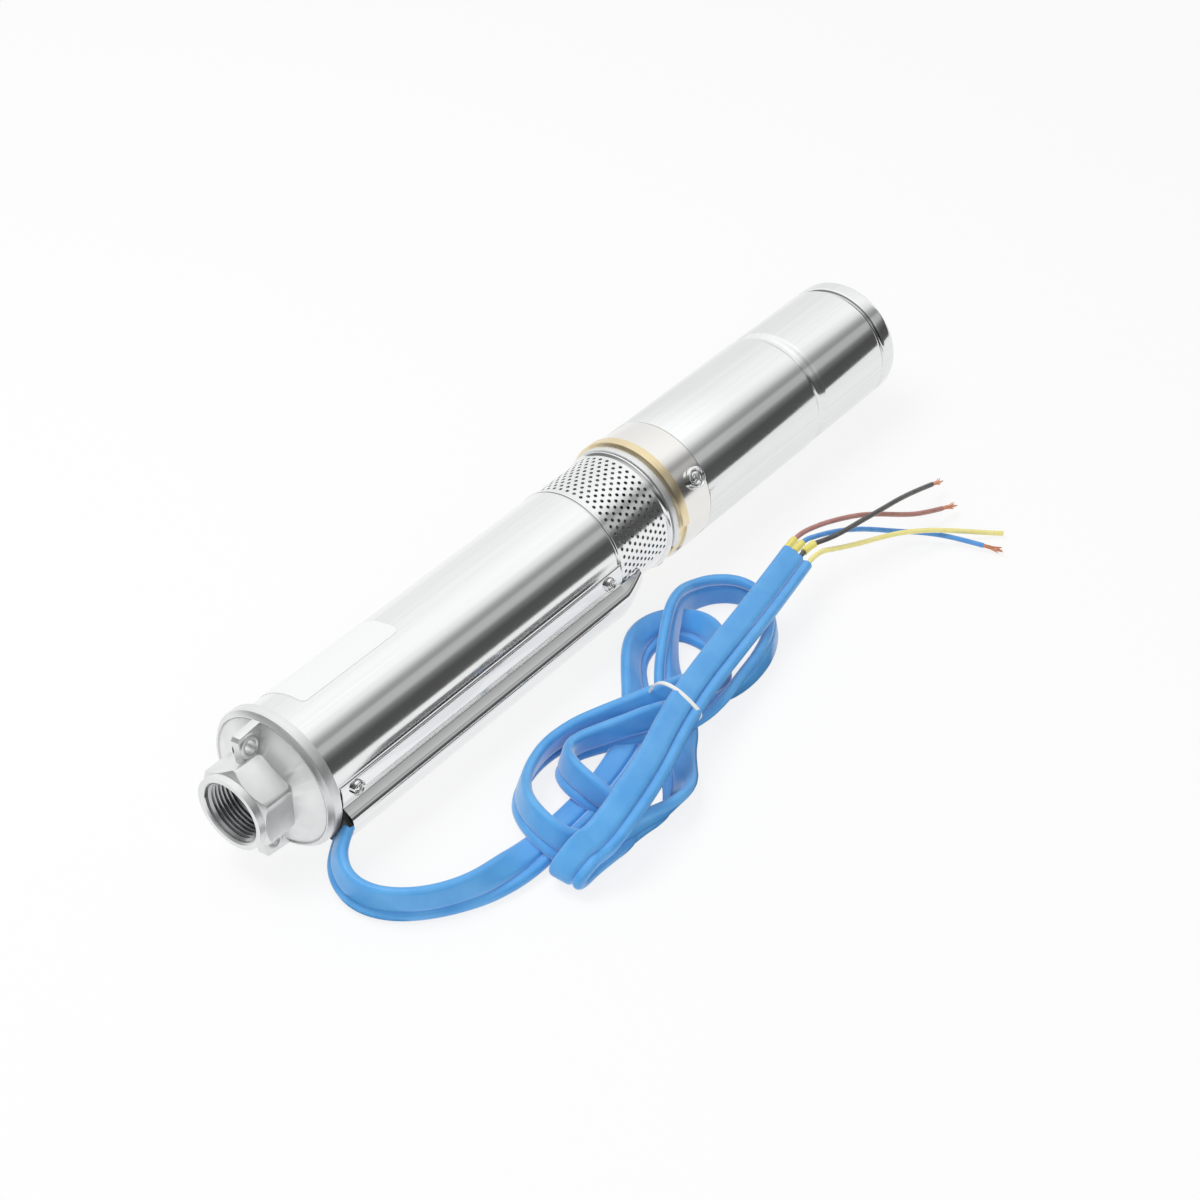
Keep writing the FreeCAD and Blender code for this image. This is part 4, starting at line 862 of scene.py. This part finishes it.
# The route's points in millimetres, each with the roll of the cable there: at 0 it stands on
# edge with its earth core down, and a plus roll turns the earth core to the left of its way.
cableRoute = [(-219.6, -34.3, 18.6, -29), (-228.6, -38.2, 16.4, -26), (-235.4, -44.0, 13.8, -20),
              (-239.6, -52.4, 11.4, -12), (-240.6, -62.8, 10.2, -8), (-237.4, -73.8, 9.9, -6),
              (-229.8, -84.8, 9.9, -6), (-217.8, -94.9, 9.9, -8), (-202.0, -103.1, 10.0, -20),
              (-184.0, -106.0, 8.4, -50), (-168.0, -106.4, 6.0, -76), (-150.0, -105.8, 4.8, -92),
              (-130.0, -105.0, 4.8, -97), (-112.0, -103.6, 4.8, -98), (-96.0, -101.0, 4.8, -96),
              (-79.0, -97.0, 4.9, -90), (-63.0, -90.5, 5.5, -74), (-48.5, -79.5, 7.6, -58),
              (-37.0, -68.0, 9.2, -40), (-24.0, -57.6, 9.5, -36), (-9.0, -51.6, 8.2, -52),
              (6.0, -52.0, 6.9, -64), (15.4, -60.4, 6.9, -64), (15.8, -74.0, 9.2, -40),
              (10.6, -88.0, 10.0, -10), (2.6, -98.4, 9.8, 4), (-9.0, -103.6, 11.0, 20),
              (-24.0, -103.6, 14.2, 42), (-38.0, -100.2, 16.8, 46), (-52.0, -94.8, 17.4, 34),
              (-66.0, -86.8, 16.0, 14), (-78.0, -76.8, 12.0, 2), (-91.0, -69.6, 10.0, -4),
              (-109.4, -67.2, 10.0, -10), (-127.8, -70.8, 10.0, -16), (-143.6, -79.8, 12.6, -20),
              (-154.6, -93.0, 17.0, -20), (-159.6, -107.6, 17.4, -20), (-157.8, -119.8, 12.6, -24),
              (-147.9, -128.2, 10.0, -20), (-134.3, -134.3, 9.9, -4), (-118.9, -136.8, 9.9, 12),
              (-107.9, -140.1, 9.9, 22), (-96.9, -140.1, 9.6, 36), (-85.0, -134.0, 7.6, 62),
              (-73.9, -124.2, 5.2, 80), (-63.2, -115.6, 4.4, 88), (-53.0, -109.6, 4.2, 90),
              (-42.0, -100.0, 4.0, 92), (-30.6, -86.8, 6.3, 112), (-18.0, -75.0, 9.6, 146),
              (-4.0, -65.4, 13.4, 162), (9.0, -58.0, 16.4, 168), (22.0, -53.4, 14.6, 172),
              (34.0, -52.6, 11.0, 176), (46.0, -56.8, 9.8, 180), (54.6, -68.0, 9.8, 184),
              (54.4, -83.0, 9.9, 188), (44.8, -97.4, 10.0, 190), (28.0, -107.6, 9.9, 188),
              (9.0, -112.4, 9.7, 180), (-9.0, -113.4, 10.0, 166), (-25.0, -112.4, 10.4, 130),
              (-39.0, -109.6, 11.6, 92), (-52.0, -105.6, 13.2, 56), (-64.4, -100.0, 15.4, 26),
              (-76.4, -92.4, 14.0, 8), (-87.4, -83.4, 11.0, -2), (-98.6, -77.4, 10.0, -8),
              (-110.6, -79.8, 11.4, -16), (-119.4, -90.4, 15.8, -22), (-123.4, -103.8, 16.6, -20),
              (-122.9, -113.8, 14.0, -12), (-121.6, -121.7, 11.0, 8), (-124.6, -129.0, 9.6, 38),
              (-131.6, -130.9, 7.4, 72), (-141.3, -129.9, 5.6, 88), (-153.0, -128.8, 4.7, 90)]


def splineMesh(points):
    # The points that Blender gives along a smooth NURBS spline through the route.
    curve = bpy.data.curves.new("route", "CURVE")
    curve.dimensions = "3D"
    spline = curve.splines.new("NURBS")
    spline.points.add(len(points) - 1)
    for target, point in zip(spline.points, points):
        target.co = (*point, 1)
    spline.order_u = 3
    spline.use_endpoint_u = True
    curve.resolution_u = 8
    holder = bpy.data.objects.new("route", curve)
    scene.collection.objects.link(holder)
    graph = bpy.context.evaluated_depsgraph_get()
    mesh = bpy.data.meshes.new_from_object(holder.evaluated_get(graph))
    found = [v.co.copy() for v in mesh.vertices]
    bpy.data.objects.remove(holder)
    return found


def wayAt(line, k):
    # The line's way at one of its points, from the point before to the one after.
    return (line[min(k + 1, len(line) - 1)] - line[max(k - 1, 0)]).normalized()


def rollDirections(route):
    # The way from the middle of the cable to its earth core, at each of the route's points.
    places = [Vector(p[:3]) / 1000 for p in route]
    widths = []
    for k, point in enumerate(route):
        way = wayAt(places, k)
        left = Vector((0, 0, 1)).cross(way)
        left.normalize()
        down = left.cross(way)
        if down.z > 0:
            down.negate()
        turn = math.radians(point[3])
        widths.append(down * math.cos(turn) + left * math.sin(turn))
    return places, widths


def sheathMesh(name, line, across, outline):
    # The sheath's outline is set square to the line at each of its points.
    verts = []
    for k, middle in enumerate(line):
        way = wayAt(line, k)
        width = across[k] - way * across[k].dot(way)
        width.normalize()
        thin = way.cross(width)
        verts += [middle + width * (w / 1000) + thin * (t / 1000) for w, t in outline]
    return newPiece(name, verts, tubeFaces(len(line), len(outline)), 50)


# The last strand, over the hank. The last number is how far it leans, in degrees, with its
# earth core low.
topStrand = [(-157.9, -128.5, 4.3, 0), (-165.2, -128.8, 4.6, 4), (-170.2, -129.8, 8.2, 8),
             (-170.0, -130.7, 12.0, 12), (-165.9, -131.6, 15.4, 18), (-158.2, -132.5, 19.6, 23),
             (-153.0, -137.6, 25.6, 26), (-130.9, -135.9, 30.2, 27), (-102.0, -129.3, 30.8, 27),
             (-70.6, -118.4, 29.8, 27), (-37.0, -109.4, 28.4, 27), (0.0, -102.8, 27.2, 27),
             (38.0, -96.6, 26.6, 27), (79.0, -88.6, 26.3, 27)]


def leaning(degrees):
    # The way to the earth core on the top strand, which runs nearly along the pump.
    turn = math.radians(degrees)
    return Vector((0.12, -math.cos(turn), -math.sin(turn))).normalized()


def flatCable(size):
    # A second line, 5 mm towards the earth core, tells at each point which way the cable is turned.
    lower, lowerWidths = rollDirections(cableRoute)
    places = lower + [Vector(p[:3]) / 1000 for p in topStrand]
    widths = lowerWidths + [leaning(p[3]) for p in topStrand]
    line = splineMesh(places)
    beside = splineMesh([place + width * 0.005 for place, width in zip(places, widths)])
    across = [b - a for a, b in zip(line, beside)]
    piece = sheathMesh("flat_power_cable", line, across, cableOutline(size))
    dress(piece, "blue_sheath")
    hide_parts("cable_arc", "cable_hank", "cable_tail")
    piece.visible_glossy = False


def roundTube(name, line, radius, sides=20):
    outline = [(radius * math.cos(2 * math.pi * k / sides), radius * math.sin(2 * math.pi * k / sides))
               for k in range(sides)]
    across = []
    side = Vector((0, 0, 1))
    for k in range(len(line)):
        way = wayAt(line, k)
        side = (side - way * side.dot(way)).normalized()
        across.append(side.copy())
    return sheathMesh(name, line, across, outline)


def stretchOf(line, start, length):
    # The points of a line between two distances along it.
    points, done = [], 0
    for a, b in zip(line, line[1:]):
        step = (b - a).length
        for place in (start, start + length):
            if done <= place < done + step:
                points.append(a.lerp(b, (place - done) / step))
        done += step
        if start < done < start + length:
            points.append(b)
    return points


# The bared copper at the ends of three cores
strandSizes = {"radius": 0.26, "count": 12, "inner": 4, "innerRing": 0.42, "outerRing": 0.95,
               "length": 11.5, "twist": 1.9, "foot": 0.4}


def copperStrands(colour, end, way, size):
    # Twisted wires, some inside and the others round them. They open a little towards their
    # cut ends, which aren't level.
    side = way.cross(Vector((0, 0, 1))).normalized()
    up = side.cross(way).normalized()
    verts, faces = [], []
    sides, steps = 6, 9
    inner, outer = size["inner"], size["count"] - size["inner"]
    for wire in range(size["count"]):
        ring, ringWires = (size["innerRing"], inner) if wire < inner else (size["outerRing"], outer)
        first = 2 * math.pi * wire / ringWires
        reach = size["length"] * (0.82 + 0.18 * math.sin(wire * 2.4))
        opening = 0.75 * (1 + 0.5 * math.sin(wire * 5.1))
        for k in range(steps + 1):
            share = k / steps
            turn = first + size["twist"] * share
            spread = ring * (0.85 + opening * share ** 3)
            middle = (end + way * ((reach * share - size["foot"]) / 1000)
                      + side * (spread * math.cos(turn) / 1000) + up * (spread * math.sin(turn) / 1000))
            for j in range(sides):
                angle = 2 * math.pi * j / sides
                verts.append(middle + side * (size["radius"] * math.cos(angle) / 1000)
                             + up * (size["radius"] * math.sin(angle) / 1000))
        faces += tubeFaces(steps + 1, sides, wire * (steps + 1) * sides)
    piece = newPiece(colour + "_copper_strands", verts, faces, 60)
    dress(piece, "copper")
    return piece


# The cut end of the cable, where the cores come out
sheathEnd = Vector((79.0, -88.6, 26.3)) / 1000
sheathWay = Vector((41.0, 8.0, -0.3)).normalized()
sheathWidth = Vector((0.15, -0.88, -0.45)).normalized()

# Where each core runs after its straight start, in millimetres
coreRoutes = {
    "brown": [(106.4, -82.8, 28.6), (120.8, -87.6, 26.6), (133.8, -93.0, 24.2), (145.0, -98.8, 20.8),
              (156.0, -105.2, 16.6), (169.0, -111.0, 12.2), (184.8, -115.0, 8.4)],
    "blue": [(101.5, -86.6, 26.4), (111.5, -90.0, 24.6), (121.8, -95.0, 22.4), (133.4, -99.4, 17.6),
             (149.5, -107.6, 10.2), (162.9, -118.9, 6.4), (170.6, -133.2, 5.0), (175.7, -148.2, 3.6)],
    "black": [(102.5, -93.0, 26.6), (111.2, -97.6, 29.2), (121.8, -100.6, 30.6), (139.0, -101.8, 28.2),
              (160.0, -101.0, 23.2), (180.0, -100.4, 17.0), (197.0, -100.2, 11.2)],
    "earth": [(106.5, -97.0, 19.6), (120.3, -103.4, 18.0), (132.7, -108.6, 17.0), (146.0, -114.0, 14.8),
              (161.5, -123.4, 11.4), (175.7, -133.6, 6.8), (185.3, -141.4, 3.7), (193.4, -150.0, 2.2)]}
coreSizes = {"radius": 1.4, "sleeve": 2.0, "sleeveLength": 9.5, "straight": 13.0,
             "sleeveStarts": {"brown": 0.3, "blue": 1.8, "black": 6.5},
             "offsets": {"brown": -7.4, "blue": -3.2, "black": 1.0, "earth": 6.6}}


def powerCores(size, strandSize):
    # Three cores have a yellow sleeve and bared copper. The earth core has neither.
    for colour, route in coreRoutes.items():
        start = sheathEnd + sheathWidth * (size["offsets"][colour] / 1000)
        points = [start, start + sheathWay * (size["straight"] / 1000)]
        points += [Vector(p) / 1000 for p in route]
        line = splineMesh(points)
        core = roundTube(colour + "_core", line, size["radius"])
        dress(core, colour + "_insulation")
        core.visible_glossy = False
        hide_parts("core_" + colour)
        carried = []
        if colour != "earth":
            near = stretchOf(line, size["sleeveStarts"][colour] / 1000, size["sleeveLength"] / 1000)
            sleeve = roundTube(colour + "_sleeve", near, size["sleeve"], 24)
            dress(sleeve, "clear_sleeve")
            strands = copperStrands(colour, points[-1], (points[-1] - points[-2]).normalized(), strandSize)
            carried = [sleeve, strands]
            if colour == "brown":
                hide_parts("core_sleeves")
                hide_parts("bare_strands")
        for each in carried:
            each.visible_glossy = False


# The tie's loop round the waist of the hank, as (y, z) in millimetres at one x
tieSizes = {"x": -54.4, "width": 2.3, "thickness": 1.1}
tieLoop = [(-91.6, 3.0), (-90.4, 14.0), (-91.0, 26.0), (-97.0, 34.4), (-106.4, 35.4), (-116.4, 31.6),
           (-123.0, 27.2), (-122.4, 22.4), (-116.6, 19.4), (-113.0, 14.0), (-112.4, 6.0), (-108.0, 0.9),
           (-100.0, 0.8)]


def cableTie(size):
    # The spline runs over the loop's first points again and is then cut where it has closed.
    loop = [Vector((size["x"], y, z)) / 1000 for y, z in tieLoop]
    line = splineMesh(loop + loop[:3])[8:-7]
    verts = []
    half, thick = size["width"] / 2000, size["thickness"] / 2000
    middle = sum(loop, Vector()) / len(loop)
    count = len(line) - 1
    outline = [(-half, -thick * 0.6), (-half * 0.8, -thick), (half * 0.8, -thick), (half, -thick * 0.6),
               (half, thick * 0.6), (half * 0.8, thick), (-half * 0.8, thick), (-half, thick * 0.6)]
    for k in range(count):
        way = (line[(k + 1) % count] - line[k - 1]).normalized()
        out = way.cross(alongPump).normalized()
        if out.dot(line[k] - middle) < 0:
            out.negate()
        verts += [line[k] + alongPump * along + out * rise for along, rise in outline]
    strap = newPiece("white_cable_tie", verts, gridFaces(count, len(outline), loop=True, tube=True), 40)
    dress(strap, "white_nylon")
    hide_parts("cable_tie")


flatCable(cableSizes)
powerCores(coreSizes, strandSizes)
cableTie(tieSizes)
print("cable and cores")


# Floor, light and camera
floorSizes = {"half": 1.6, "under": 0.0002, "whiteShare": 0.82}


def paleFloor(size):
    # Matt white board. The lens and the metal see it nearly white, and it still takes the
    # object's shadow.
    half = size["half"]
    floor = newPiece("pale_floor", [(-half, -half, 0), (half, -half, 0), (half, half, 0), (-half, half, 0)],
                     [(0, 1, 2, 3)])
    floor.location.z = -size["under"]
    material, tree, main = newMaterial(
        "paleStudioFloor", Base_Color="#FAFAFA", Roughness=0.8, Specular_IOR_Level=0.1)[:3]
    glow = add(tree, "ShaderNodeEmission", Strength=1.0, Color=(1, 1, 1, 1))
    rays = add(tree, "ShaderNodeLightPath")
    either = add(tree, "ShaderNodeMath", {"operation": "MAXIMUM"},
                 {0: rays.outputs["Is Camera Ray"], 1: rays.outputs["Is Glossy Ray"]})
    share = add(tree, "ShaderNodeMath", {"operation": "MULTIPLY"}, {0: either.outputs[0]})
    share.inputs[1].default_value = size["whiteShare"]
    add(tree, "ShaderNodeMixShader", links={0: share.outputs[0], 1: main.outputs[0], 2: glow.outputs[0]},
        to=tree.nodes["Material Output"].inputs["Surface"])
    floor.data.materials.append(material)


# How bright the tent is, as (angle round the pump, level), and the room along it, as (share
# of the way from the outlet's side to the motor's, level)
tentBands = [(-90, 0.95), (-20, 0.9), (30, 0.95), (80, 1.08), (100, 1.1), (113, 0.85), (123, 0.4),
             (130, 0.3), (134, 0.52), (144, 0.5), (150, 0.2), (160, 0.08), (178, 0.09), (183, 0.12),
             (186, 1.1), (269, 1.1)]
roomBands = [(0.0, 0.64), (0.07, 0.6), (0.14, 0.24), (0.3, 0.22), (0.42, 0.95), (0.5, 1.15),
             (0.66, 1.12), (0.75, 1.0)]


def studioWorld(tent, room, evenLight=0.5):
    # A white tent whose near side, low down, is left open to the dim room. Only reflections
    # show it: the lens sees white, and everything else gets an even light.
    world = bpy.data.worlds.new("studioTent")
    scene.world = world
    world.use_nodes = True
    tree = world.node_tree
    tree.nodes.clear()
    way = add(tree, "ShaderNodeTexCoord").outputs["Generated"]
    split = add(tree, "ShaderNodeSeparateXYZ", links={0: way})
    turn = add(tree, "ShaderNodeMath", {"operation": "ARCTAN2"},
               {0: split.outputs["Z"], 1: split.outputs["Y"]})
    # ARCTAN2 gives -180 to 180 degrees, and the bands run from -90 to 270. So what lies below
    # -90 is moved one turn up.
    share = add(tree, "ShaderNodeMapRange", {"clamp": False}, {"Value": turn.outputs[0]},
                From_Min=-math.pi / 2, From_Max=1.5 * math.pi)
    low = add(tree, "ShaderNodeMath", {"operation": "LESS_THAN"}, {0: turn.outputs[0]})
    low.inputs[1].default_value = -math.pi / 2
    moved = add(tree, "ShaderNodeMath", {"operation": "ADD"}, {0: share.outputs[0], 1: low.outputs[0]})
    around = add(tree, "ShaderNodeValToRGB", links={0: moved.outputs[0]},
                 stops=[((angle + 90) / 360, level) for angle, level in tent])
    # The tent is open towards the lens, so what faces the outlet's side shows a darker room.
    along = add(tree, "ShaderNodeMapRange", links={"Value": split.outputs["X"]},
                From_Min=-1.0, From_Max=1.0)
    lengthwise = add(tree, "ShaderNodeValToRGB", links={0: along.outputs[0]}, stops=room)
    both = add(tree, "ShaderNodeVectorMath", {"operation": "MULTIPLY"},
               {0: around.outputs[0], 1: lengthwise.outputs[0]})
    rays = add(tree, "ShaderNodeLightPath")
    seen = add(tree, "ShaderNodeBackground", links={"Color": both.outputs[0]}, Strength=1.0)
    even = add(tree, "ShaderNodeBackground", Color=(1, 1, 1, 1), Strength=evenLight)
    white = add(tree, "ShaderNodeBackground", Color=(1, 1, 1, 1), Strength=1.0)
    first = add(tree, "ShaderNodeMixShader",
                links={0: rays.outputs["Is Glossy Ray"], 1: even.outputs[0], 2: seen.outputs[0]})
    second = add(tree, "ShaderNodeMixShader",
                 links={0: rays.outputs["Is Camera Ray"], 1: first.outputs[0], 2: white.outputs[0]})
    add(tree, "ShaderNodeOutputWorld", links={"Surface": second.outputs[0]})


# Discs of light aimed at the middle of the pump. The metal doesn't show them.
lamps = {"overhead": {"place": (-0.3, 0.5, 1.5), "size": 1.0, "power": 12},
         "front": {"place": (-0.9, -1.0, 1.1), "size": 1.0, "power": 4}}


def softLamp(name, values):
    lamp = bpy.data.lights.new(name, "AREA")
    lamp.shape = "DISK"
    lamp.size = values["size"]
    lamp.energy = values["power"]
    holder = bpy.data.objects.new(name, lamp)
    holder.location = values["place"]
    holder.rotation_euler = (-Vector(values["place"])).to_track_quat("-Z", "Y").to_euler()
    holder.visible_glossy = False
    scene.collection.objects.link(holder)


cameraSizes = {"lens": 76.23, "sensor": 36, "place": (-0.8252, -0.6653, 0.8706),
               "tilt": 50.691, "heading": -51.822}


def studioCamera(size):
    lens = bpy.data.cameras.new("camera")
    lens.lens = size["lens"]
    lens.sensor_width = size["sensor"]
    holder = bpy.data.objects.new("camera", lens)
    holder.location = size["place"]
    holder.rotation_euler = (math.radians(size["tilt"]), 0, math.radians(size["heading"]))
    scene.collection.objects.link(holder)
    scene.camera = holder


# Dark cloths on the floor beside the tube, as for bright metal in a studio. Only the metal
# shows them.
clothHeight = 0.0004
cloths = [((-0.160, -0.112), (0.045, -0.112), (0.085, -0.160), (-0.128, -0.150)),
          ((-0.120, -0.158), (0.095, -0.170), (0.125, -0.205), (-0.095, -0.190)),
          ((-0.090, -0.196), (0.130, -0.214), (0.165, -0.262), (-0.050, -0.250)),
          ((-0.270, -0.050), (-0.214, -0.050), (-0.204, -0.086), (-0.262, -0.086))]


def darkFlag(strips):
    # Black velvet: a matt pile that gives back hardly any light.
    verts = [(x, y, clothHeight) for strip in strips for x, y in strip]
    flag = newPiece("dark_flag", verts, [[4 * k + j for j in range(4)] for k in range(len(strips))])
    material = newMaterial("blackVelvet", Base_Color="#26282C", Roughness=0.9)[0]
    flag.data.materials.append(material)
    flag.visible_camera = flag.visible_diffuse = flag.visible_shadow = False


darkFlag(cloths)
paleFloor(floorSizes)
studioWorld(tentBands, roomBands)
for name, values in lamps.items():
    softLamp(name, values)
studioCamera(cameraSizes)
scene.view_settings.view_transform = "Standard"
print("studio")
